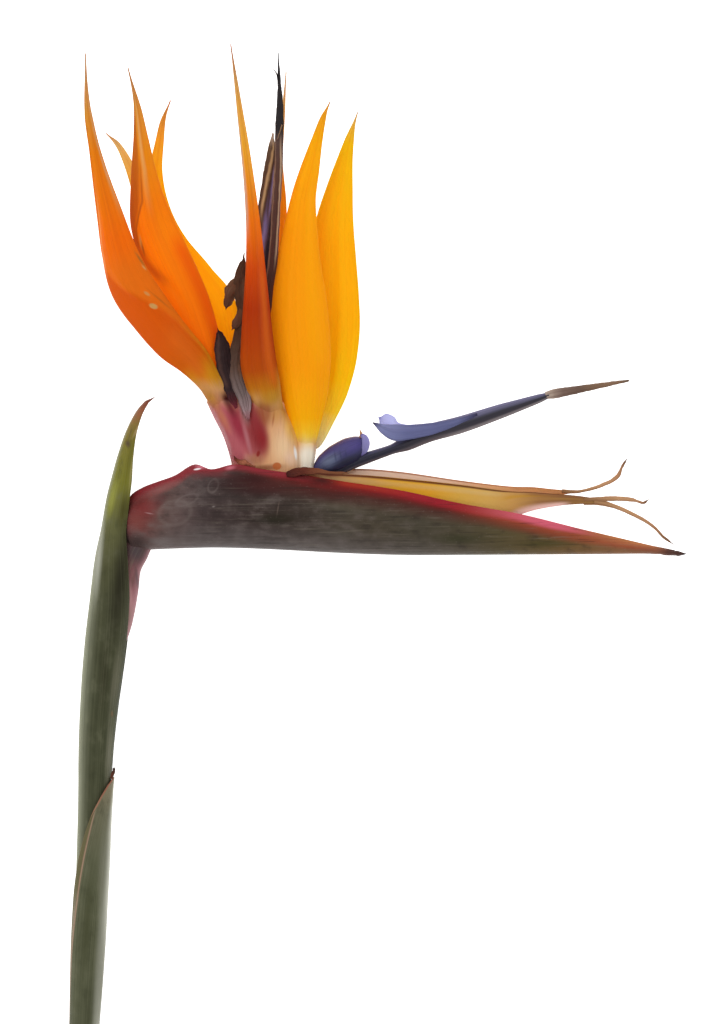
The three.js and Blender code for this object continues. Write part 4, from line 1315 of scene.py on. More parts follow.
@dataclass
class Spathe:
    """The beak: a boat-shaped bract, closed at its heel and tip and open along its top between them."""

    # Rows of [x, y of the keel, y of the rim, half depth, rim half width over half depth]
    rows: Rows = (
        (-4.5, 8.8, 13.6, 3.2, 0.4), (-3.8, 5, 17.5, 5, 0.3), (-2.2, 3.2, 19.9, 6.4, 0.26),
        (1.1, 3, 21.9, 7.4, 0.24), (5, 3.2, 23.4, 8.1, 0.26), (10.5, 3.4, 25.4, 8.6, 0.34),
        (16.5, 3.6, 28.7, 8.9, 0.5), (21.5, 3.7, 27.2, 9, 0.74), (28.5, 3.6, 28.6, 9, 0.8),
        (37, 3.3, 27.2, 9, 0.8), (47, 2.8, 25.8, 8.9, 0.8), (60, 2.1, 23.7, 8.5, 0.78),
        (78, 1.5, 20.9, 7.6, 0.76), (96, 1.5, 17, 6.5, 0.76), (114, 1.6, 13.8, 5.2, 0.78),
        (132, 1.7, 9.4, 3.9, 0.78), (144, 1.8, 6.6, 2.9, 0.76), (153, 1.8, 4.5, 2, 0.7),
        (161.3, 1.2, 2.8, 1.2, 0.65),
    )
    # Dry margins beside the florets: rows of [x, y, z, width, keel, roll]
    lip: Rows = (
        (44.2, 25.6, 16.4, 1.5, 0.2, -20), (46.6, 26.2, 16.6, 2.6, 0.4, -20),
        (49.8, 26.6, 16.6, 2.4, 0.4, -20), (53, 26.6, 16.4, 1.7, 0.3, -20), (57, 26.2, 16, 0.9, 0.1, -20),
        (62, 26, 15.4, 0.6, 0, -20),
    )
    scale: Rows = (
        (34.6, 27.8, 15.6, 1, 0, -30), (32.4, 28.7, 16, 1.8, 0.3, -30), (30.2, 29.4, 16, 1.6, 0.3, -20),
        (28.7, 30.8, 15.8, 0.7, 0),
    )
    lip_finish: DryFinish = DryFinish(
        "dry_lip", ((0, 0x461C1A), (0.4, 0x683224), (1, 0xA46A48)), 0x401E18)
    scale_finish: DryFinish = DryFinish(
        "dry_scale", ((0, 0x96543E), (0.5, 0xAC684C), (0.8, 0x824230), (1, 0x50241C)),
        0x6E362A, 0.4)
    axis_z: float = 8.8
    tip: Vector = field(default_factory=lambda: Vector((164.3, 1.8, 8.8)))
    withered_from: float = 150.0  # where the dry point starts to crumple
    crumple: float = 0.5
    crumple_scale: float = 0.7
    belly: float = 0.5  # level of the widest place
    keel_squareness: float = 2.3
    shoulder_squareness: float = 1.8
    wall: float = 1.2
    wall_share: float = 0.36  # the most of half the depth that the wall takes
    rim_wall: float = 0.7
    rim_share: float = 0.3  # the same at the rim
    dome_share: float = 0.3  # how round the rim is, over its width
    dome_limit: float = 0.25  # the same over the beak's height
    slit: float = 0.03  # half the hollow's width where the beak is closed
    floor: float = 1.4
    floor_share: float = 0.3  # the most of the height that the floor takes
    sealed: float = 1.2  # the hollow's depth where the beak is closed
    open_from: float = 19.0
    open_over: float = 3.0  # how far the opening's start is spread, each way
    open_to: float = 156.0
    close_over: float = 4.0
    roomy: float = 99.0  # wider than any hollow
    keel_levels: int = 14
    side_levels: int = 14
    lip_levels: int = 5
    steps: int = 240

    def _levels(self, share: float) -> list[tuple[float, float]]:
        """Traces half of the outer section.

        Args:
            share: The rim's half width over half the depth.

        Returns:
            Pairs of a level and the half width there over half the depth.
        """
        power = 2 / self.keel_squareness
        pairs = []
        for i in range(self.keel_levels + 1):
            angle = math.pi / 2 * i / self.keel_levels
            pairs.append((self.belly * (1 - math.cos(angle) ** power), math.sin(angle) ** power))
        for i in range(1, self.side_levels + 1):
            rise = i / self.side_levels
            level = self.belly + (1 - self.belly) * rise
            pairs.append((level, 1 - (1 - share) * rise ** self.shoulder_squareness))
        return pairs

    def _half_ring(self, x: float, keel: float, rim: float, depth: float, share: float) -> list[tuple]:
        """Traces half a section from the keel over the rim and down the inside.

        Args:
            x: The section's place along the beak.
            keel: The height of the keel, as y.
            rim: The height of the rim, as y.
            depth: Half the beak's depth there.
            share: The rim's half width over half the depth.

        Returns:
            Points of (y, half width, across value).
        """
        height = rim - keel
        opened = smooth(self.open_from - self.open_over, self.open_from + self.open_over, x)
        opened *= smooth(self.open_to + self.close_over, self.open_to - self.close_over, x)
        pairs = self._levels(share)
        outer_half = depth * share
        lip_wall = min(self.rim_wall, depth * self.rim_share)
        inner_half = opened * max(outer_half - lip_wall, self.slit) + (1 - opened) * self.slit
        dome = min(self.dome_share * (outer_half - inner_half), self.dome_limit * height)
        points = []
        for level, half in pairs:
            y = keel + level * height - dome * max(0.0, level - self.belly) / (1 - self.belly)
            points.append((y, depth * half, 0.5 * level))
        middle, spread = (outer_half + inner_half) / 2, (outer_half - inner_half) / 2
        for i in range(1, self.lip_levels + 1):
            angle = math.pi * i / (self.lip_levels + 1)
            points.append((rim - dome + dome * math.sin(angle), middle + spread * math.cos(angle), 0.5))
        wall = min(self.wall, depth * self.wall_share)
        floor = keel + min(self.floor, height * self.floor_share)
        bottom = opened * floor + (1 - opened) * (rim - min(self.sealed, height * self.floor_share))
        for level, half in reversed(pairs):
            slimming = wall + (lip_wall - wall) * max(0.0, level - self.belly) / (1 - self.belly)
            inside = opened * max(depth * half - slimming, self.slit) + (1 - opened) * self.slit
            y = bottom + (rim - dome - bottom) * level
            points.append((y, min(inside, inner_half + self.roomy * opened), 0.5 + 0.5 * (1 - level)))
        return points

    def build(self) -> None:
        """Makes and dresses the beak."""
        rings, along = [], []
        course = Course(self.rows)
        for station in course.stations(self.steps):
            x, keel, rim = station.place
            depth, share, _ = station.sizes
            half = self._half_ring(x, keel, rim, depth, share)
            near = [Vector((x, y, self.axis_z + width)) for y, width, _ in half]
            far = [Vector((x, y, max(self.axis_z - width, 0))) for y, width, _ in half]
            outer = [value for _, _, value in half]
            strays = self.crumple * smooth(self.withered_from, self.tip.x, x)
            ring = near + far[-2:0:-1]
            rings.append([p + noise.noise_vector(p * self.crumple_scale) * strays for p in ring])
            along.append(station.t)
        across = outer + outer[-2:0:-1]
        beak = Skin(rings, along, across, wrap=0.0, end=self.tip).build("beak_looks")
        dress(beak, BeakSkin().make(), "beak_skin", "spathe")
        lip = Blade("dry_lip_looks", self.lip, ridge=0.4, margin=0.3, crumple=0.25, steps=40).build()
        dress(lip, self.lip_finish.make(), "beak_skin")
        scale = Blade("dry_scale_looks", self.scale, ridge=0.5, margin=0.3, crumple=0.4, steps=30).build()
        dress(scale, self.scale_finish.make(), "beak_skin")


@dataclass
class FloretBase:
    """The fleshy foot of one opened floret: rows of [y, left x, right x, half depth]."""

    name: str
    node: str
    rows: Rows
    axis_z: float = 8.8
    squareness: float = 0.75
    sides: int = 48
    steps: int = 60
    flutes: float = 0.03  # depth of its lengthwise furrows over its half width
    furrows: int = 9
    twist: float = 2.0  # how far the furrows wind round it, in radians
    dome: Path = ((0.9, 0.8), (0.7, 1.5), (0.4, 2))  # its rounded top's rings: size and rise
    dome_rise: float = 2.2

    def build(self, finish: Material) -> None:
        """Makes and dresses the base.

        Args:
            finish: The bases' shared material.
        """
        course = Course(tuple((left, y, right, depth) for y, left, right, depth in self.rows))
        rings, along = [], []
        for station in course.stations(self.steps):
            left, y, right = station.place
            depth = station.sizes.x
            ring = []
            for i in range(self.sides):
                angle = 2 * math.pi * i / self.sides
                wave = math.cos(self.furrows * angle + self.twist * station.t)
                furrow = 1 - self.flutes * (0.5 + 0.5 * wave)
                cosine = math.copysign(abs(math.cos(angle)) ** self.squareness, math.cos(angle))
                sine = math.copysign(abs(math.sin(angle)) ** self.squareness, math.sin(angle))
                ring.append(Vector(((left + right) / 2 + (right - left) / 2 * cosine * furrow, y,
                                    self.axis_z + depth * sine * furrow)))
            rings.append(ring)
            along.append(station.t)
        last = rings[-1]
        middle = sum(last, Vector()) / self.sides
        for shrink, lift in self.dome:
            rings.append([middle + (point - middle) * shrink + Vector((0, lift, 0)) for point in last])
            along.append(1.0)
        base = Skin(rings, along, [i / self.sides for i in range(self.sides)], wrap=1.0,
                    end=middle + Vector((0, self.dome_rise, 0))).build(self.name)
        dress(base, finish, "claw_flesh", self.node)


@dataclass(frozen=True)
class Sepal:
    """One sepal, along rows of [x, y, z, width, keel, roll] from its claw to its tip."""

    name: str
    slot: str
    wave: float
    rows: Rows
    finish: SepalFinish
    pleats: tuple[Pleat, ...] = ()

    def build(self) -> None:
        """Makes and dresses the sepal."""
        blade = Blade(f"{self.name}_sepal_looks", self.rows, self.wave, pleats=self.pleats, columns=36,
                      steps=120)
        dress(blade.build(), self.finish.make(), self.slot, f"sepal_{self.name}")


@dataclass
class Florets:
    """The three opened florets' bases and their eight sepals."""

    bases: tuple[FloretBase, ...] = (
        FloretBase("left_base_looks", "floret_base_left", (
            (5.9, 31.4, 33.2, 1.2), (8, 30.9, 33.3, 3), (12, 30, 34.2, 4.6), (21, 28.8, 37, 5.2),
            (29.1, 27.4, 38.4, 5.5), (34.5, 25.9, 38.2, 6), (38.1, 24.5, 37.4, 6.4),
            (42.6, 22.2, 35.4, 6.8), (47.4, 19.9, 33.4, 7.1),
        )),
        FloretBase("middle_base_looks", "floret_base_middle", (
            (5.6, 36, 40, 1.2), (8, 35, 41.6, 3), (12, 34, 44.4, 4.6), (21, 33.2, 47.6, 5.2),
            (29.1, 32.6, 49, 5.5), (36, 31.7, 47.8, 6.3), (42, 30.2, 45.6, 6.8), (46.8, 28.8, 43.4, 7),
        )),
        FloretBase("right_base_looks", "floret_base_right", (
            (5.4, 44.6, 46.4, 1.2), (8, 43.9, 48, 3), (12, 45.3, 50.1, 3.8), (21, 47.1, 51.3, 4.2),
            (28.2, 47.4, 52.2, 4.4), (31.5, 47, 52.7, 4.4), (34.2, 46.7, 53, 4), (37, 46.6, 52.9, 3.2),
            (40, 46.8, 52.6, 2.2),
        )),
    )
    # Where the front left sepal bends
    bend: Path = ((0.31, 0.81), (0.345, 0.8), (0.447, 0.76), (0.498, 0.68), (0.528, 0.6), (0.57, 0.48),
                  (0.609, 0.31), (0.652, 0.12))
    # The front left sepal, whose bend parts a lower side painted in deeper shade from a veined upper one,
    # with a painted reflection along its lower margin
    left_front: Sepal = Sepal(
        "left_front", "sepal_orange", 0.5,
        rows=(
            (28.6, 40, 10.6, 4.4, 0.6), (25.8, 45.5, 13.4, 6, 0.8), (23.4, 49, 14.8, 6.4, 1),
            (21.2, 53.1, 16.4, 7.2, 1.4), (16.4, 59.6, 19.6, 10.1, 2.2), (10.6, 65.1, 22.6, 12.2, 3),
            (4.5, 72.6, 25.4, 13, 3.2), (-1.2, 81, 27.6, 13.3, 3, -4), (-4.7, 90.4, 29.2, 10.9, 2.4, -8),
            (-7.5, 101.5, 30.6, 7.9, 1.6, -8), (-11.4, 118.4, 32, 3.8, 0.8, -6),
            (-13.9, 132.4, 32.6, 2.1, 0.4), (-14.6, 148.7, 32.8, 0.9, 0),
        ),
        finish=SepalFinish(
            "left_front_sepal",
            ((0, 0xC49E5A), (0.193, 0xD8AC34), (0.258, 0xDE9E1E), (0.34, 0xE49814), (0.45, 0xEA7004),
             (0.588, 0xF07200), (0.707, 0xF47400), (0.844, 0xEE8A08), (0.908, 0xE4A03C), (1, 0xCEA67E)),
            marks=(
                # Painted light and shade: the two sides of the bend are coloured apart, deeper and redder
                # below, as the fold's faces meet the light differently
                Tint(0xD85802, bend, 0.05, 0.8, Where.LOWER),
                Tint(0xDE6C18, ((0.27, 0.4), (0.35, 0.52), (0.45, 0.6)), 0.24, 0.7),
                Tint(0xE07818, bend, 0.05, 0.5, Where.HIGHER),
                # A painted reflection along the lower margin, then a painted highlight just above the bend
                Tint(0xF6A86E, ((0.395, 0), (0.496, 0.03), (0.606, 0.04), (0.642, 0.03)), 0.1, 0.85),
                Tint(0xFAAA64, ((0.633, 0.14), (0.688, 0.16), (0.78, 0.25)), 0.06, 0.75),
                Tint(0xB23E0C, ((0.633, 0), (0.725, 0), (0.798, 0.02)), 0.05, 0.8),
                Tint(0x964614, ((0.285, 1), (0.358, 0.99), (0.542, 1)), 0.04, 0.7),
                Tint(0xD8A054, ((0.762, 0.84), (0.853, 0.8), (0.945, 0.7)), 0.2, 0.6),
                Tint(0xDAAC82, ((0.78, 0.8), (0.86, 0.74), (0.94, 0.66)), 0.08, 0.6),
            ) + ovals(
                (0xCEA862, 5.2, 75, 1.6, 0.95, -20, 0.95, 0.45),
                (0xCEA05C, 3.3, 78.7, 1.4, 0.6, -35, 0.8, 0.6), (0x9E6828, 1.4, 88.6, 4.6, 0.6, -56, 0.85),
                (0xD6B06E, 2.4, 86.4, 1.5, 0.4, -50, 0.9), (0xAC5C18, 7, 77, 7, 0.5, -40, 0.6),
            ),
            claw=(49, 55)),
        pleats=(
            Pleat(((0.267, 0.7), (0.45, 0.56), (0.528, 0.24), (0.609, -0.34), (0.661, -0.7)), 0.12, 0.7),
            Pleat(((0.496, 0.7), (0.633, 0.5), (0.771, 0.5), (0.908, 0.4)), 0.2, -0.35),
            Pleat(((0.633, -0.6), (0.725, -0.5), (0.862, -0.3)), 0.16, 0.5),
        ))
    # The second left sepal, with painted shade in a fold and down its turned-away left side, and dry flecks
    # near its middle
    left_second: Sepal = Sepal(
        "left_second", "sepal_orange", 0.4,
        rows=(
            (25.9, 45.6, 10.4, 5.6, 0.8), (25.3, 47.9, 11, 6.5, 1), (23.2, 52.7, 12.2, 8, 1.2),
            (20.3, 60.4, 14.2, 10.4, 1.6), (17.4, 68.7, 16, 12.4, 2), (14.5, 76.6, 17.4, 13.6, 2.2),
            (11, 84.3, 18.6, 14.2, 2.2), (7.5, 91.6, 19.6, 14.4, 2), (4.2, 100.5, 20.4, 12.9, 1.6),
            (2.1, 112.9, 21.4, 8.2, 1.4), (1, 125.6, 22, 4.3, 0.9), (-0.1, 135, 22.2, 2.1, 0.3),
            (-2.7, 145.8, 22.2, 0.9, 0),
        ),
        finish=SepalFinish(
            "left_second_sepal",
            ((0, 0xD8A032), (0.12, 0xF69004), (0.22, 0xFA7A00), (0.4, 0xFC8400), (0.58, 0xFF9000),
             (0.7, 0xF88802), (0.8, 0xF0960E), (0.9, 0xE6A03C), (1, 0xC49060)),
            marks=(
                # Painted shade: the first two tints darken the fold and the left side that turns away from
                # the light; the fourth and fifth darken the fold's lower side and its crease
                Tint(0xBC4E0C, ((0.5, 0.34), (0.58, 0.2), (0.66, 0.15), (0.76, 0.2)), 0.13, 0.7),
                Tint(0xCE5408, ((0.44, 0.02), (0.6, 0), (0.9, 0)), 0.2, 0.8),
                Tint(0x944212, ((0.24, 1), (0.4, 0.99), (0.58, 0.99)), 0.035, 0.9),
                Tint(0xBA5A16, ((0.6, 0.12), (0.66, 0.2), (0.71, 0.38), (0.77, 0.42), (0.81, 0.38),
                                (0.9, 0.26)), 0.06, 0.75, Where.LOWER),
                Tint(0xB05814, ((0.62, 0.16), (0.66, 0.22), (0.71, 0.42), (0.77, 0.45)), 0.04, 0.8),
                Tint(0xECBA6E, ((0.74, 0.52), (0.77, 0.53), (0.82, 0.48), (0.95, 0.4)), 0.08, 0.75,
                     fade=0.08),
                Tint(0xF05400, ((0.25, 0.84), (0.4, 0.8), (0.6, 0.76)), 0.28, 0.65),
            ) + ovals(
                (0xD6A854, 0.9, 94.6, 3.4, 0.55, -80, 0.9), (0x96541A, 1.6, 92.4, 3.6, 0.45, -76, 0.8),
            ),
            margin_strength=0.15, claw=(47, 52)),
        pleats=(
            Pleat(((0.3, 0.1), (0.5, -0.3), (0.62, -0.6), (0.8, -0.5)), 0.16, -0.5),
            Pleat(((0.2, 0.4), (0.5, 0.3), (0.8, 0.1)), 0.2, 0.4),
        ))
    # The third left sepal, bright with light from behind
    left_third: Sepal = Sepal(
        "left_third", "sepal_amber", 0.4,
        rows=(
            (26.4, 45.6, 7.4, 5.4, -0.6), (26.2, 48, 7.4, 6, -0.8), (25.2, 53, 7.8, 7.6, -1),
            (23.8, 60, 8.6, 11.4, -1.2), (22.4, 67, 9.4, 15.4, -1.4), (20.2, 75.2, 10, 17.6, -1.4),
            (15.8, 83.8, 10.4, 13.6, -1.4), (9.8, 93, 10.8, 11, -1.2), (6.6, 101.4, 11, 8, -1),
            (5.1, 109.5, 11.2, 5.6, -0.8), (4.9, 117, 11.2, 3.9, -0.5), (6, 125.4, 11, 2.6, 0),
            (7.1, 132, 10.6, 1.6, 0), (9.1, 137.5, 10, 0.9, 0),
        ),
        finish=SepalFinish(
            "left_third_sepal",
            ((0, 0xF0BE32), (0.15, 0xFFCE00), (0.5, 0xFFDC14), (0.7, 0xFFE00A), (0.85, 0xF6C43C),
             (1, 0xBE8C5A)),
            margin=0xFFC85A, vein=0xDC6E0A, claw=(46, 50), glow=0.45, light=0xFFAA00),
        pleats=(
            Pleat(((0.2, 0.3), (0.6, 0.2)), 0.2, 0.4),
        ))
    # The rear left sepal, pale and translucent
    left_back: Sepal = Sepal(
        "left_back", "sepal_amber", 0.3,
        rows=(
            (26, 45.6, 4.6, 5, -0.6), (25.4, 48.6, 4.5, 6, -0.8), (21.3, 57.6, 4.3, 8, -1),
            (16.8, 67.5, 4.2, 10, -1), (12.3, 78, 4.1, 11.4, -1), (7.2, 90, 4, 10.4, -1),
            (3, 100.8, 3.7, 7.5, -0.8), (-0.6, 111.3, 3.1, 4.5, -0.5), (-3.9, 119.4, 2.2, 2.8, 0),
            (-7.2, 125.4, 1.4, 1.6, 0), (-10.7, 128.8, 0.56, 0.9, 0),
        ),
        finish=SepalFinish(
            "left_back_sepal",
            ((0, 0xF0B432), (0.3, 0xFFC40A), (0.7, 0xFAC432), (0.88, 0xEEC878), (1, 0xCE9C6E)),
            margin=0xFFCE78, vein_strength=0.2, claw=(46, 50)))
    # The front middle sepal: painted dark below, as shade where the dark petals behind keep light from
    # coming through; orange above, with a grey-mauve stripe painted as a highlight along its keel
    middle_front: Sepal = Sepal(
        "middle_front", "sepal_orange", 0.2,
        rows=(
            (39.6, 39, 10, 6, 1), (38.9, 44.6, 13.6, 8.2, 1.4), (38.3, 47.8, 15.2, 9, 2),
            (37.2, 52.2, 16.6, 10.2, 2.8), (35.9, 58.1, 18.4, 10.7, 3.4), (35.5, 65.5, 20.2, 9.6, 3.6),
            (35.3, 77.2, 22.6, 7.5, 3.4), (35.1, 87, 24.2, 5.7, 3.2), (34.6, 97.7, 25.6, 4.3, 3),
            (33.4, 110.9, 27, 3.1, 2.8), (32, 122.6, 28, 2.4, 2), (30.6, 132.8, 28.8, 1.7, 1),
            (29.3, 142.6, 29.4, 1.1, 0), (28, 151.8, 29.8, 0.9, 0),
        ),
        finish=SepalFinish(
            "middle_front_sepal",
            # The dark stops from 0.298 to 0.538 are painted shade, where the dark petals behind keep light
            # from coming through
            ((0, 0xC4A664), (0.151, 0xCEA438), (0.215, 0xCA8014), (0.298, 0xBE5002), (0.446, 0xB63600),
             (0.538, 0xD84C00), (0.631, 0xF67A02), (0.769, 0xFAB628), (0.908, 0xECBA70), (1, 0xBA7456)),
            marks=(
                # A painted highlight along the keel, grey-mauve
                Tint(0xD0B09C, ((0.62, 0.22), (0.7, 0.24), (0.8, 0.18), (0.84, 0.16)), 0.2, 0.85),
                Tint(0xF4B03C, ((0.7, 0.7), (0.8, 0.6), (0.9, 0.5)), 0.3, 0.5),
                Tint(0xE2AA54, ((0.5, 0.04), (0.62, 0.05), (0.8, 0)), 0.1, 0.7),
                Tint(0xB05C1E, ((0.446, 0), (0.631, 0.03), (0.815, 0.06)), 0.06, 0.7),
                Tint(0xE26A16, ((0.225, 0.72), (0.354, 0.7), (0.538, 0.68)), 0.16, 0.6),
                Tint(0xD6923C, ((0.123, 0.85), (0.188, 0.88), (0.262, 0.92)), 0.14, 0.7),
            ),
            margin=0xE48232, vein=0x963808, vein_strength=0.4, claw=(44, 51.5), glow=0.2),
        pleats=(
            Pleat(((0.169, -0.5), (0.446, -0.5), (0.723, -0.4)), 0.14, -0.4),
            Pleat(((0.169, 0.45), (0.446, 0.4), (0.723, 0.3)), 0.16, -0.3),
        ))
    # The rear middle sepal, pale at its tip
    middle_back: Sepal = Sepal(
        "middle_back", "sepal_orange", 0.2,
        rows=(
            (40.6, 45, 4.2, 7.4, -0.6), (39.8, 51, 3.8, 8.4, -0.8), (38.9, 60, 3.4, 9, -1),
            (38.6, 72, 3.2, 7.8, -1), (40.4, 84, 3.3, 6, -0.8), (41.7, 96, 3.7, 4.6, -0.4),
            (42.3, 108, 4.4, 3, 0), (42, 120, 5.4, 1.6, 0), (42.8, 132, 6.6, 1.2, 0),
            (43.8, 146.4, 8.4, 0.9, 0),
        ),
        finish=SepalFinish(
            "middle_back_sepal",
            ((0, 0xE2B03C), (0.2, 0xFAAA0A), (0.68, 0xFEA614), (0.8, 0xF4B03C), (0.9, 0xECB664),
             (1, 0xD6B082)),
            claw=(40, 46)))
    # The front right sepal, with a cream claw
    right_front: Sepal = Sepal(
        "right_front", "sepal_amber", 0.3,
        rows=(
            (49.8, 32.4, 11, 4.9, 0.8), (49.8, 36, 11.2, 6.6, 1.2), (49.7, 42, 11.8, 9.9, 1.6),
            (49.5, 49.5, 12.6, 13.8, 2.2), (49.1, 58.5, 13.4, 16.4, 2.6), (48.2, 67.5, 14, 17.7, 2.8),
            (47.7, 77, 14.6, 17, 2.6), (47.7, 87, 15.2, 13.8, 2.2), (48.2, 97.5, 16, 10.5, 1.8),
            (49.2, 108, 16.8, 7.4, 1.2), (51, 116.1, 17.4, 5.8, 0.8), (53.2, 125, 18, 3.4, 0.4),
            (55.2, 132, 18.4, 1.8, 0), (57, 136.2, 18.6, 0.9, 0),
        ),
        finish=SepalFinish(
            "right_front_sepal",
            ((0, 0xF4EAC8), (0.04, 0xFAE896), (0.09, 0xFFD832), (0.16, 0xFFBE00), (0.3, 0xFFAC00),
             (0.6, 0xFFAC00), (0.85, 0xFFBE04), (0.95, 0xF8B428), (1, 0xC89250)),
            marks=(
                Tint(0xFF9C00, ((0.15, 0.05), (0.4, 0.06), (0.8, 0.1)), 0.26, 0.7),
                Tint(0xFFB600, ((0.3, 0.7), (0.7, 0.66)), 0.2, 0.5),
            ),
            margin=0xFFBE32, vein=0xFA9200, vein_strength=0.3, claw=(33, 39)),
        pleats=(
            Pleat(((0.12, -0.45), (0.4, -0.4), (0.8, -0.3)), 0.18, 0.35),
            Pleat(((0.15, 0.5), (0.4, 0.45), (0.8, 0.3)), 0.18, 0.3),
        ))
    # The rear right sepal, with a cream claw and a paler tip
    right_back: Sepal = Sepal(
        "right_back", "sepal_amber", 0.3,
        rows=(
            (50.6, 33, 7, 2.4, -0.4), (51.4, 35, 7, 5.4, -0.6), (52.2, 37, 6.9, 6.6, -0.8),
            (54, 43.5, 6.8, 9.6, -1), (56, 51, 6.7, 12.6, -1.4), (57.4, 60, 6.6, 15, -1.6),
            (57.9, 70.5, 6.6, 16.2, -1.6), (57.9, 81, 6.8, 15.4, -1.4), (57.9, 91.5, 7.2, 13.8, -1.2),
            (58.4, 101.5, 7.8, 11.4, -1), (60, 112, 8.6, 7.8, -0.6), (61.6, 120.5, 9.6, 4.6, -0.3),
            (63.4, 128, 10.6, 2.2, 0), (65.2, 133.8, 11.4, 0.9, 0),
        ),
        finish=SepalFinish(
            "right_back_sepal",
            ((0, 0xFAF8DC), (0.123, 0xFFFFCE), (0.188, 0xFFFA96), (0.25, 0xFFE432), (0.34, 0xFFD600),
             (0.46, 0xFFC400), (0.631, 0xFFBE00), (0.889, 0xFFCE0A), (0.954, 0xF8C446), (1, 0xCEA66E)),
            marks=(
                Tint(0xFFAA00, ((0.354, 0.3), (0.631, 0.26), (0.862, 0.3)), 0.22, 0.55),
            ),
            margin=0xFFD85A, vein=0xFAA000, vein_strength=0.3, light=0xFFC832, glow=0.18),
        pleats=(
            Pleat(((0.262, 0.3), (0.538, 0.3), (0.815, 0.2)), 0.18, 0.4),
        ))

    def build(self) -> None:
        """Makes and dresses the bases and the sepals."""
        flesh = Flesh().make()
        for base in self.bases:
            base.build(flesh)
        for sepal in (self.left_front, self.left_second, self.left_third, self.left_back,
                      self.middle_front, self.middle_back, self.right_front, self.right_back):
            sepal.build()


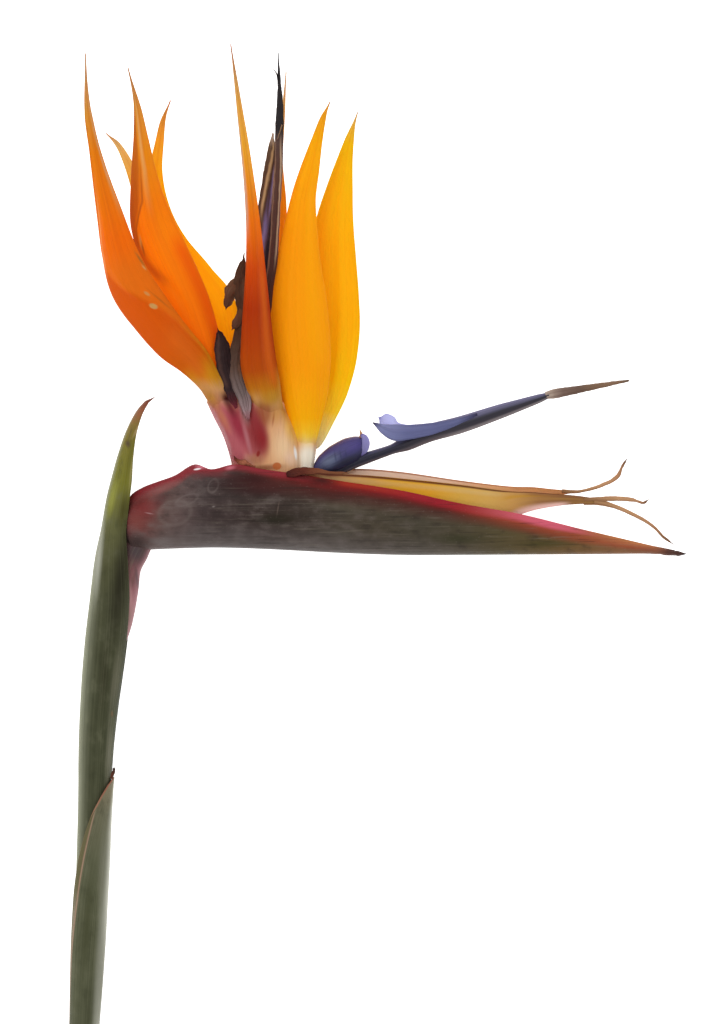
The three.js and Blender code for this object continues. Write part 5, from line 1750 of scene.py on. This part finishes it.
@dataclass
class WitheredPetals:
    """The dried tongues and the shrivelled petals of older florets."""

    black: Rows = (
        (40, 45, 11.4, 2.6, 0.8), (38.8, 56, 15, 2.8, 1), (37.9, 68, 16.2, 2.8, 1.2),
        (38.4, 78, 16.7, 2.8, 1.2), (40.1, 90, 17.2, 2.8, 1.2), (41, 105, 17.6, 2.6, 1.2),
        (41.8, 117, 17.9, 2.4, 1), (42, 128, 18, 2.5, 0.8), (42.2, 136, 18, 2, 0.4), (42, 142, 18, 1.1, 0),
        (41.6, 150.8, 18, 0.9, 0),
    )
    brown: Rows = (
        (36, 45, 8.4, 2.6, 1), (36.4, 56, 9.4, 3, 1.4), (36.8, 68, 10.6, 3.2, 1.6),
        (37.2, 80, 12, 3.8, 1.8), (38.2, 92, 13, 4.8, 1.8), (37.9, 104, 13.8, 4.8, 1.8),
        (38.9, 114, 14.2, 4, 1.4), (39.6, 121.4, 14.4, 2.8, 1), (40, 127.2, 14.4, 1.5, 0.5),
    )
    left: Rows = (
        (29, 45.4, 15.6, 0.9, 0.1), (28, 48.4, 15.8, 2.6, 0.3), (27.2, 51.5, 15.6, 4, 0.3),
        (26.3, 55, 15.4, 4.6, 0.4), (25.4, 59.5, 16.2, 4.8, 0.8, 5), (24.8, 64, 17, 4.4, 1, 5),
        (24.2, 67, 17.4, 2.2, 0.4), (23.8, 68.6, 17.5, 0.9, 0),
    )
    twisted: Rows = (
        (32.8, 42, 15.9, 0.9, 0.1), (31.7, 47.6, 16.2, 3.8, 0.3), (30, 53.5, 15.9, 4.9, 0.5),
        (29.2, 58, 15.6, 4.8, 0.8, 5), (29.4, 63, 16, 4.4, 1, 8), (30.1, 67.5, 16.8, 3.2, 0.8),
        (30.8, 72.5, 17.6, 3.2, 0.6), (30.8, 77, 18.2, 3.4, 0.8), (30.4, 81, 18.4, 4.4, 1, 10),
        (30.5, 85, 18.6, 3.4, 1.2, 20), (31.2, 88.5, 18.8, 1.8, 0.8, 20), (31.7, 91, 19, 0.9, 0.3),
    )
    flap: Rows = (
        (30.6, 83.6, 18.6, 3.6, 0.6), (28.5, 81, 18.4, 4.6, 0.8), (27, 78, 18, 3.2, 0.6),
        (26.2, 75.2, 17.8, 1.2, 0),
    )
    tooth: Rows = (
        (31, 75.2, 18.4, 0.9, 0), (30.2, 72.8, 18.4, 2.2, 0.2), (29.2, 70.6, 18.2, 2.6, 0.3),
        (28.1, 68.9, 18, 0.9, 0),
    )
    hair: Rows = (
        (41.7, 142.8, 18.2, 0.3, 0.3), (41.2, 144.8, 18.4, 0.2, 0.2), (40.4, 145.9, 18.5, 0.12, 0.12),
    )
    spike: Rows = (
        (41.4, 130, 18.2, 0.8, 0.1), (41.3, 128, 18.2, 0.9, 0.1), (41.4, 126.2, 18.2, 0.5, 0),
    )
    strand: Rows = (
        (42.8, 129.6, 18.4, 0.26, 0.2), (42.2, 127.6, 18.6, 0.24, 0.2), (41.6, 125.6, 18.7, 0.18, 0.16),
    )

    black_finish: DryFinish = DryFinish(
        "withered_black",
        ((0, 0x3C2826), (0.3, 0x4E2C26), (0.6, 0x583A30), (0.67, 0x543E38), (0.7, 0x282426), (1, 0x342E2E)),
        0x1A1618, 0.5, roughness=0.45,
        marks=(
            Tint(0xC8A88A, ((0.4, 0.66), (0.5, 0.7), (0.6, 0.66), (0.66, 0.6)), 0.12, 0.85),
            Tint(0x968088, ((0.42, 0.9), (0.55, 0.9), (0.66, 0.88)), 0.12, 0.8),
            Tint(0x967058, ((0.36, 0.25), (0.5, 0.25), (0.66, 0.2)), 0.1, 0.7),
        ))
    brown_finish: DryFinish = DryFinish(
        "withered_brown",
        ((0, 0x5A3E30), (0.4, 0x4A3024), (0.75, 0x4E3222), (1, 0x6E543E)),
        0x301E18, 0.6,
        marks=(
            Tint(0x2E2630, ((0.33, 0.42), (0.5, 0.44), (0.63, 0.72), (0.8, 0.82)), 0.05, 0.9, Where.HIGHER),
            Tint(0x7C6A94, ((0.36, 0.3), (0.5, 0.3), (0.63, 0.6), (0.75, 0.7), (0.8, 0.74)), 0.16, 0.95),
            Tint(0xBA946A, ((0.62, 0.34), (0.72, 0.42), (0.9, 0.56), (1, 0.6)), 0.11, 0.9),
            Tint(0xB08C68, ((0.66, 0.72), (0.8, 0.76), (0.95, 0.8)), 0.09, 0.8),
            Tint(0x422A22, ((0.6, 0.56), (0.8, 0.6), (0.9, 0.68)), 0.07, 0.8),
            Tint(0x967862, ((0.5, 0.04), (0.7, 0.04), (0.9, 0.08)), 0.06, 0.8),
            Tint(0xCEB09C, ((0.95, 0.5), (1, 0.5)), 0.5, 0.7),
        ))
    maroon_finish: DryFinish = DryFinish(
        "withered_maroon",
        ((0, 0x822C3A), (0.1, 0x542228), (0.25, 0x322224), (1, 0x2C1C1A)),
        0x1C1212, 0.6, (Tint(0x543C36, ((0.3, 0.35), (0.6, 0.3), (0.9, 0.4)), 0.16, 0.6),), roughness=0.5)
    grey_finish: DryFinish = DryFinish(
        "withered_grey",
        ((0, 0xB07078), (0.05, 0x9E8486), (0.12, 0x766664), (0.26, 0x5C463C), (0.45, 0x4C3224),
         (1, 0x4E3020)),
        0x2C1C14, 0.6, (Tint(0x70523E, ((0.2, 0.6), (0.4, 0.62), (0.8, 0.6)), 0.12, 0.7),))
    flap_finish: DryFinish = DryFinish(
        "withered_flap", ((0, 0x623E2A), (1, 0x503022)), 0x7C5C46, 0.5, strand=12)
    strand_finish: DryFinish = DryFinish(
        "withered_strand", ((0, 0x967458), (1, 0x967458)), 0x5A4232)
    hair_finish: DryFinish = DryFinish(
        "withered_hair", ((0, 0x221E20), (1, 0x282222)), 0x141212)

    def build(self) -> None:
        """Makes and dresses the withered petals and their loose ends."""
        for name, rows, finish, crumple in (
                ("dry_tongue_black", self.black, self.black_finish, 0.14),
                ("dry_tongue_brown", self.brown, self.brown_finish, 0.2),
                ("dry_petal_left", self.left, self.maroon_finish, 0.3),
                ("dry_petal_twisted", self.twisted, self.grey_finish, 0.35)):
            petal = Blade(f"{name}_looks", rows, ridge=0.8, margin=0.3, crumple=crumple).build()
            dress(petal, finish.make(), "withered_petal", name)
        flap_skin = self.flap_finish.make()
        ends = (("dry_flap_looks", self.flap, 0.5), ("dry_tooth_looks", self.tooth, 0.2))
        for name, rows, crumple in ends:
            flap = Blade(name, rows, ridge=0.6, margin=0.3, crumple=crumple, steps=40).build()
            dress(flap, flap_skin, "withered_petal")
        tan = self.strand_finish.make()
        black = self.hair_finish.make()
        dress(Limb("dry_strand_looks", self.strand, sides=8, steps=12).build(), tan, "withered_petal")
        dress(Limb("dry_hair_looks", self.hair, sides=8, steps=12).build(), black, "withered_petal")
        spike = Blade("dry_spike_looks", self.spike, ridge=0.4, margin=0.3, columns=8, steps=12).build()
        dress(spike, black, "withered_petal")


@dataclass
class BlueTongue:
    """The fresh arrow-shaped tongue with its two barbs, the style in its point and the hood petal."""

    shaft: Rows = (
        (54.2, 23.6, 8.8, 1, 1.1), (58, 26, 9, 1.5, 1.3), (63, 28.6, 9.4, 1.7, 1.4),
        (68, 30.6, 9.9, 1.7, 1.5), (75, 33, 10.5, 1.5, 1.6), (80, 35, 11, 2.3, 1.9),
        (86, 37.8, 11.5, 2.7, 2), (96, 40.5, 12.2, 2.6, 1.8), (108, 44.5, 13, 2.2, 1.5),
        (115, 46.8, 13.5, 1.7, 1.2), (119.5, 48.3, 13.7, 1.35, 1.1), (122.4, 49.3, 13.8, 0.9, 0.9),
    )
    barb_near: Rows = (
        (101, 43.6, 13.7, 0.9, 0, 10), (95, 41.3, 13.6, 2, 0.2, 10), (89, 39.6, 13.4, 3.2, 0.4, 10),
        (84, 38.7, 13.2, 4.2, 0.5, 16), (80, 38.2, 13.1, 5, 0.6, 24), (76.4, 38.1, 13.2, 5.6, 0.7, 28),
        (73.2, 39.1, 13.4, 3.6, 0.5, 30), (71.2, 40.3, 13.6, 1.6, 0.2, 30), (70.2, 40.9, 13.6, 0.8, 0, 30),
    )
    barb_far: Rows = (
        (88, 39, 11, 1.6, 0.2, -10), (84, 39.2, 10.8, 2.2, 0.3, -14), (79.6, 39.4, 10.4, 2.6, 0.6, -18),
        (76.8, 40, 10, 3.2, 0.8, -20), (75, 41, 9.8, 5, 0.9, -20), (73.4, 41.9, 9.6, 4.7, 0.8, -20),
        (72.4, 42.3, 9.6, 2.8, 0.4, -20), (72, 42.5, 9.6, 1.4, 0, -20),
    )
    style: Rows = (
        (121.4, 49.2, 13.8, 1.1, 0.9), (124, 49.7, 13.9, 1.45, 1), (132, 51.1, 14.2, 1.15, 0.9),
        (138, 52.2, 14.4, 0.85, 0.7), (146, 53.6, 14.6, 0.4, 0.38),
    )
    hood: Rows = (
        (52.7, 26.6, 9.3, 1.5, 1.4), (55.4, 28.7, 9.3, 3.1, 2.9), (58.8, 30.6, 9.4, 4, 3.4),
        (62.4, 32.5, 9.5, 4.1, 3.5), (65.4, 34, 9.6, 3.4, 3.2), (67.8, 35, 9.7, 2.1, 2.1),
    )
    # The hood's translucent lip and dry point: rows of [x, y, z, width, keel, roll]
    lip: Rows = (
        (66.4, 37.6, 11.4, 0.9, 0), (67.4, 36.6, 12.2, 1.9, 0.3), (67.8, 35, 12.5, 2.3, 0.3),
        (67.5, 33.2, 12.2, 2, 0.2), (66.6, 31.6, 11.6, 1.1, 0),
    )
    point: Rows = ((66.3, 36.6, 11, 0.6, 0.5), (66.3, 37.9, 11.2, 0.4, 0.4), (66, 38.9, 11.3, 0.16, 0.16))
    style_finish: DryFinish = DryFinish(
        "style_brown",
        ((0, 0xAC9A8E), (0.2, 0xA49082), (0.34, 0x745E54), (0.48, 0x685246), (0.65, 0x785E4A),
         (0.9, 0x886A54), (1, 0x6E5846)),
        0x584238, 0.5, strand=14)
    point_finish: DryFinish = DryFinish(
        "hood_point", ((0, 0x96685C), (0.5, 0xC48E60), (1, 0xCE9C6E)), 0x82543C)
    # Banded from a brown lower edge to a violet upper one
    shaft_finish: RoundFinish = RoundFinish(
        "tongue_shaft",
        ((0, 0x76686C), (0.1, 0x5A5054), (0.17, 0x38343C), (0.26, 0x2A2832), (0.33, 0x424058),
         (0.42, 0x5E5A7A), (0.5, 0x787086)),
        marks=(
            Tint(0x222436, ((0, 0.22), (0.3, 0.22), (0.42, 0.25)), 0.24, 0.6),
            Tint(0x7C7A8A, ((0.12, 0.46), (0.3, 0.45), (0.4, 0.44)), 0.06, 0.7),
            Tint(0x60585E, ((0.1, 0.13), (0.3, 0.13), (0.5, 0.12)), 0.03, 0.5),
            Tint(0x3E3A44, ((0.2, 0.04), (0.4, 0.04), (0.56, 0.04)), 0.06, 0.6),
            Tint(0x74708E, ((0.62, 0.38), (0.8, 0.36), (0.97, 0.36)), 0.12, 0.6),
            Tint(0x888082, ((0.6, 0.09), (0.75, 0.1), (0.97, 0.12)), 0.07, 0.85),
        ))
    # Slate blue below, violet above and brown along its top
    hood_finish: RoundFinish = RoundFinish(
        "hood",
        ((0, 0x2E2C3C), (0.16, 0x343454), (0.34, 0x443E70), (0.42, 0x4C3E68), (0.46, 0x7C5A54),
         (0.5, 0x96705A)),
        marks=ovals(
            (0x626A82, 56.6, 29.4, 5.4, 3, 30, 0.9), (0x463C7A, 64.6, 34.4, 6.6, 3.2, 25, 0.85),
            (0x282836, 61.8, 29.6, 6, 1.6, 24, 0.8), (0x282E50, 58.6, 31, 0.5, 2.4, 10, 0.6),
            (0x282E50, 60.2, 31.4, 0.4, 2.2, 10, 0.6), (0x282C4C, 61.8, 31.8, 0.4, 1.8, 10, 0.5),
        ),
        streak=0x2C2C48, streak_strength=0.35)

    def build(self) -> None:
        """Makes and dresses the tongue, the style and the hood."""
        shaft = Limb("tongue_shaft_looks", self.shaft, sides=40, steps=110, end_run=0.9,
                     grooves=((62, 9, 0.1), (112, 10, 0.12))).build()
        dress(shaft, self.shaft_finish.make(), "petal_indigo", "tongue_fresh")
        near = Blade("near_barb_looks", self.barb_near, ridge=0.7, margin=0.35, taper=0.3, steps=60).build()
        near_finish = self._barb_finish("near_barb", 0x6C709C, 0x888CB8, 0x423E5C, 0.15)
        dress(near, near_finish.make(), "petal_indigo")
        far = Blade("far_barb_looks", self.barb_far, ridge=0.6, margin=0.3, taper=0.2, steps=40).build()
        far_finish = self._barb_finish("far_barb", 0xD6D6F4, 0xCECEEE, 0x9694C8, 0.45)
        dress(far, far_finish.make(), "petal_indigo")
        style = Limb("style_looks", self.style, steps=60, strays=0.12, grooves=((90, 14, 0.12),)).build()
        dress(style, self.style_finish.make(), "style_brown", "style_fresh")
        hood = Limb("hood_looks", self.hood, sides=40, steps=50).build()
        dress(hood, self.hood_finish.make(), "petal_indigo", "hood_petal")
        lip = Blade("hood_lip_looks", self.lip, ridge=0.4, margin=0.25, taper=0.3, steps=40).build()
        lip_finish = self._barb_finish("hood_lip", 0xA8A2D6, 0xA8A2D6, 0x8278BC, 0.4)
        dress(lip, lip_finish.make(), "petal_indigo")
        point = Limb("hood_point_looks", self.point, sides=10, steps=12).build()
        dress(point, self.point_finish.make(), "petal_indigo")

    @staticmethod
    def _barb_finish(name: str, face: Rgb, end: Rgb, line: Rgb, glow: float) -> SepalFinish:
        """Gives a thin violet blade's finish.

        Args:
            name: The material's name.
            face: The colour of its face.
            end: The face's colour near its free end.
            line: The colour of its margins and veins.
            glow: The share of light that comes through.

        Returns:
            The finish.
        """
        run = ((0, line), (0.12, face), (0.5, face), (0.8, end), (1, line))
        return SepalFinish(name, run, margin=line, margin_strength=0.9, vein=line, vein_strength=0.35,
                           glow=glow, light=0xD8DCFF)


@dataclass
class Bracteoles:
    """The two papery bracts that stand in the beak's mouth, with their dried curling tips."""

    # Rows of [x, y of the lower edge, y of the upper edge, z]
    far: Rows = (
        (58, 4.6, 27, 6.6), (66, 4.4, 27.4, 6.9), (78, 4.1, 26.5, 7.2), (96, 4.1, 23.9, 7.4),
        (108, 7, 22.4, 7.7), (113, 13, 22, 7.9), (118, 16.8, 21.9, 8.2), (123.6, 18.9, 21.3, 8.8),
        (130, 20.1, 20.8, 9.7),
    )
    far_tip: Rows = (
        (126.6, 20.7, 9.6, 1.2, 0.1), (131, 20.5, 10, 1, 0.2), (135, 21.2, 10.4, 1, 0.2),
        (138.6, 22.5, 10.9, 1.1, 0.2), (141.4, 23.8, 11.3, 1.2, 0.1), (143.3, 25.4, 11.7, 1.3, 0, -10),
        (144.1, 27.3, 12.1, 0.8, 0, 15), (144.9, 28.8, 12.4, 0.6, 0), (145.8, 30.3, 12.5, 0.35, 0),
    )
    near: Rows = (
        (49.4, 22, 25.9, 14.2), (53, 16, 26.1, 14), (57, 10, 25.8, 13.4), (62, 6, 25.7, 12.4),
        (68, 4.4, 25.4, 11.4), (78, 4.1, 24.5, 11), (96, 4.1, 22.6, 10.6), (107, 7, 21.1, 10.3),
        (112, 12.4, 20.6, 10.4), (117, 14.6, 20.4, 10.7), (126, 16.3, 19.7, 11.2), (131, 16.7, 19.3, 11.6),
        (136, 16.9, 18.6, 12),
    )
    near_upper_tip: Rows = (
        (133, 18.2, 11.9, 1.1, 0.1), (138, 18.3, 12.3, 1.3, 0.1), (143, 18.4, 12.8, 1.4, 0.1, 10),
        (147.2, 18.1, 13, 1.2, 0.1), (149.2, 17.5, 13.1, 0.7, 0, 10), (150.6, 17.1, 13.1, 0.45, 0),
        (152.2, 18.1, 13.1, 0.3, 0),
    )
    near_lower_tip: Rows = (
        (133, 17.5, 11.7, 2, 0.2), (137.6, 17.2, 12, 1.8, 0.2), (142.4, 16, 12.3, 1.3, 0.2),
        (147, 14, 12.5, 1.15, 0.1), (151.2, 11.8, 12.5, 1.05, 0), (154.2, 9.6, 12.5, 0.9, 0.1),
        (156.8, 6.9, 12.4, 0.8, 0), (159.6, 4.8, 12.2, 0.35, 0),
    )
    # Pale and papery, with a brown upper edge
    far_finish: DryFinish = DryFinish(
        "far_bract",
        ((0, 0xCEAA8C), (0.1, 0xECD6C4), (0.45, 0xEED4BE), (0.65, 0xE8BC8E), (0.85, 0xD8A068),
         (1, 0xBE8654)),
        0xDEB490, 0.4,
        marks=(
            Tint(0xB0704A, ((0, 0.99), (0.5, 0.985), (1, 0.95)), 0.02, 0.9),
            Tint(0xC48A5A, ((0.6, 0.94), (0.8, 0.9), (1, 0.8)), 0.08, 0.5),
        ),
        by_place=(58, 129), glow=0.35, strand=3)
    # Yellow, then tan, with a brown line above and pink below
    near_finish: DryFinish = DryFinish(
        "near_bract",
        ((0, 0xA06446), (0.05, 0xD6A068), (0.14, 0xE2AA56), (0.24, 0xF0B424), (0.38, 0xF0B228),
         (0.5, 0xE6B850), (0.6, 0xE2B862), (0.7, 0xD2A05A), (0.8, 0xA47448), (0.9, 0x926840), (1, 0x966C44)),
        0xD8A44A, 0.35,
        marks=(
            Tint(0xF8CEC6, ((0.58, 0), (0.7, 0.06), (0.86, 0.1)), 0.36, 0.9),
            Tint(0xE0BE80, ((0.1, 0.91), (0.3, 0.91), (0.6, 0.9)), 0.07, 0.5),
            Tint(0xCE9628, ((0.62, 0.8), (0.7, 0.8), (0.8, 0.8)), 0.1, 0.6),
            Tint(0x683426, ((0, 0.985), (0.5, 0.98), (0.75, 0.97), (1, 0.95)), 0.034, 1),
            Tint(0x98643E, ((0.74, 0.86), (0.86, 0.8), (1, 0.7)), 0.14, 0.6),
        ),
        by_place=(57, 135), glow=0.25, strand=3)
    tip_finish: DryFinish = DryFinish(
        "dry_tips", ((0, 0x9E744E), (0.35, 0xC69870), (0.75, 0xB48460), (1, 0x644634)),
        0x7C543A, 0.6, strand=3, glow=0.15)
    paper: float = 0.4
    bow: float = 0.6
    full_bow_height: float = 12.0
    columns: int = 24
    steps: int = 90

    def _standing(self, name: str, rows: Rows) -> Piece:
        """Makes one standing bract.

        Args:
            name: The object's name.
            rows: The bract's rows.

        Returns:
            The bract's object.
        """
        rings, along = [], []
        levels = [i / self.columns for i in range(self.columns + 1)]
        for station in Course(rows).stations(self.steps):
            x, low, high = station.place
            z = station.sizes.x
            height = high - low
            bow = self.bow * min(1.0, height / self.full_bow_height)
            faces = [[Vector((x, low + height * level, z + bow * math.sin(math.pi * level) + offset))
                      for level in levels] for offset in (self.paper / 2, -self.paper / 2)]
            rings.append(faces[0] + faces[1][::-1])
            along.append(station.t)
        return Skin(rings, along, levels + levels[::-1]).build(name)

    def build(self) -> None:
        """Makes and dresses the bracts and their tips."""
        far = self._standing("far_bracteole_looks", self.far)
        dress(far, self.far_finish.make(), "dry_bract", "bracteole_far")
        near = self._standing("near_bracteole_looks", self.near)
        dress(near, self.near_finish.make(), "dry_bract", "bracteole_near")
        tips = self.tip_finish.make()
        for name, rows, crumple in (
                ("far_tip_looks", self.far_tip, 0.1), ("near_upper_tip_looks", self.near_upper_tip, 0.12),
                ("near_lower_tip_looks", self.near_lower_tip, 0.08)):
            tip = Blade(name, rows, ridge=0.5, margin=0.25, crumple=crumple, taper=0.7, columns=10)
            dress(tip.build(), tips, "dry_bract")


def dress(piece: Piece, finish: Material, slot: str, *nodes: str) -> None:
    """Gives a piece its finish and hides the frame's nodes that it stands for.

    Args:
        piece: The piece.
        finish: Its material.
        slot: Not used.
        nodes: The frame's nodes that it replaces.
    """
    piece.data.materials.append(finish)
    if nodes:
        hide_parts(*nodes)
    log.info("%s: %d faces", piece.name, len(piece.data.polygons))


@dataclass
class Studio:
    """The light table that the flower lies on, its soft lights and the camera above it."""

    view_middle: tuple[float, float] = (-2.7, 30.4)  # what the picture's middle shows, in the frame
    view_height: float = 307.2  # how much of the flower's plane the picture takes in
    plane_z: float = 9.0
    distance: float = 1100.0
    sensor: float = 36.0
    table_size: float = 6.0
    table_colour: Rgb = 0xF0F0F0
    table_light: float = 1.0
    table_roughness: float = 0.9
    sky: float = 0.78
    lamp_side: float = 1.2  # metres
    lamp_power: float = 8.8  # watts
    lamp_place: tuple[float, float, float] = (-0.5, 0.7, 1.4)  # metres
    sight: float = 20.0  # how far the camera sees, in metres

    def build(self) -> None:
        """Sets the camera, the table and the lights."""
        self._camera()
        self._table()
        self._lights()

    def _camera(self) -> None:
        """Hangs the camera straight above the flower."""
        camera = bpy.data.cameras.new("camera")
        camera.sensor_fit = "VERTICAL"
        camera.sensor_height = self.sensor
        camera.lens = self.sensor * self.distance / self.view_height
        camera.clip_end = self.sight
        holder = bpy.data.objects.new("camera", camera)
        holder.location = Vector((*self.view_middle, self.plane_z + self.distance)) * MM
        bpy.context.scene.collection.objects.link(holder)
        bpy.context.scene.camera = holder

    def _table(self) -> None:
        """Lays the pale table, lit a little from below."""
        half = self.table_size / 2
        mesh = bpy.data.meshes.new("table")
        mesh.from_pydata([(-half, -half, 0), (half, -half, 0), (half, half, 0), (-half, half, 0)], [],
                         [(0, 1, 2, 3)])
        table = bpy.data.objects.new("table", mesh)
        bpy.context.scene.collection.objects.link(table)
        recipe = Recipe("table")
        material = recipe.finish(linear(self.table_colour), self.table_roughness, shine=0.0)
        shader = next(node for node in recipe.tree.nodes if node.type == "BSDF_PRINCIPLED")
        shader.inputs["Emission Color"].default_value = (1, 1, 1, 1)
        shader.inputs["Emission Strength"].default_value = self.table_light
        mesh.materials.append(material)

    def _lights(self) -> None:
        """Sets an even white sky and one broad soft lamp."""
        world = bpy.data.worlds.new("sky")
        world.use_nodes = True
        world.node_tree.nodes["Background"].inputs["Color"].default_value = (1, 1, 1, 1)
        world.node_tree.nodes["Background"].inputs["Strength"].default_value = self.sky
        bpy.context.scene.world = world
        lamp = bpy.data.lights.new("softbox", "AREA")
        lamp.shape = "RECTANGLE"
        lamp.size = self.lamp_side
        lamp.size_y = self.lamp_side
        lamp.energy = self.lamp_power
        holder = bpy.data.objects.new("softbox", lamp)
        holder.location = self.lamp_place
        holder.rotation_euler = (Vector((0, 0, 0)) - holder.location).to_track_quat("-Z", "Y").to_euler()
        bpy.context.scene.collection.objects.link(holder)


def main() -> None:
    """Builds the studio and the flower."""
    logging.basicConfig(level=logging.INFO, format="%(message)s")
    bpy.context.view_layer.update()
    noise.seed_set(CRUMPLE_SEED)
    bpy.context.scene.view_settings.view_transform = "Standard"
    Studio().build()
    for group in (Stem(), Spathe(), Florets(), WitheredPetals(), BlueTongue(), Bracteoles()):
        log.info("%s", type(group).__name__)
        group.build()


if __name__ == "__main__":
    main()
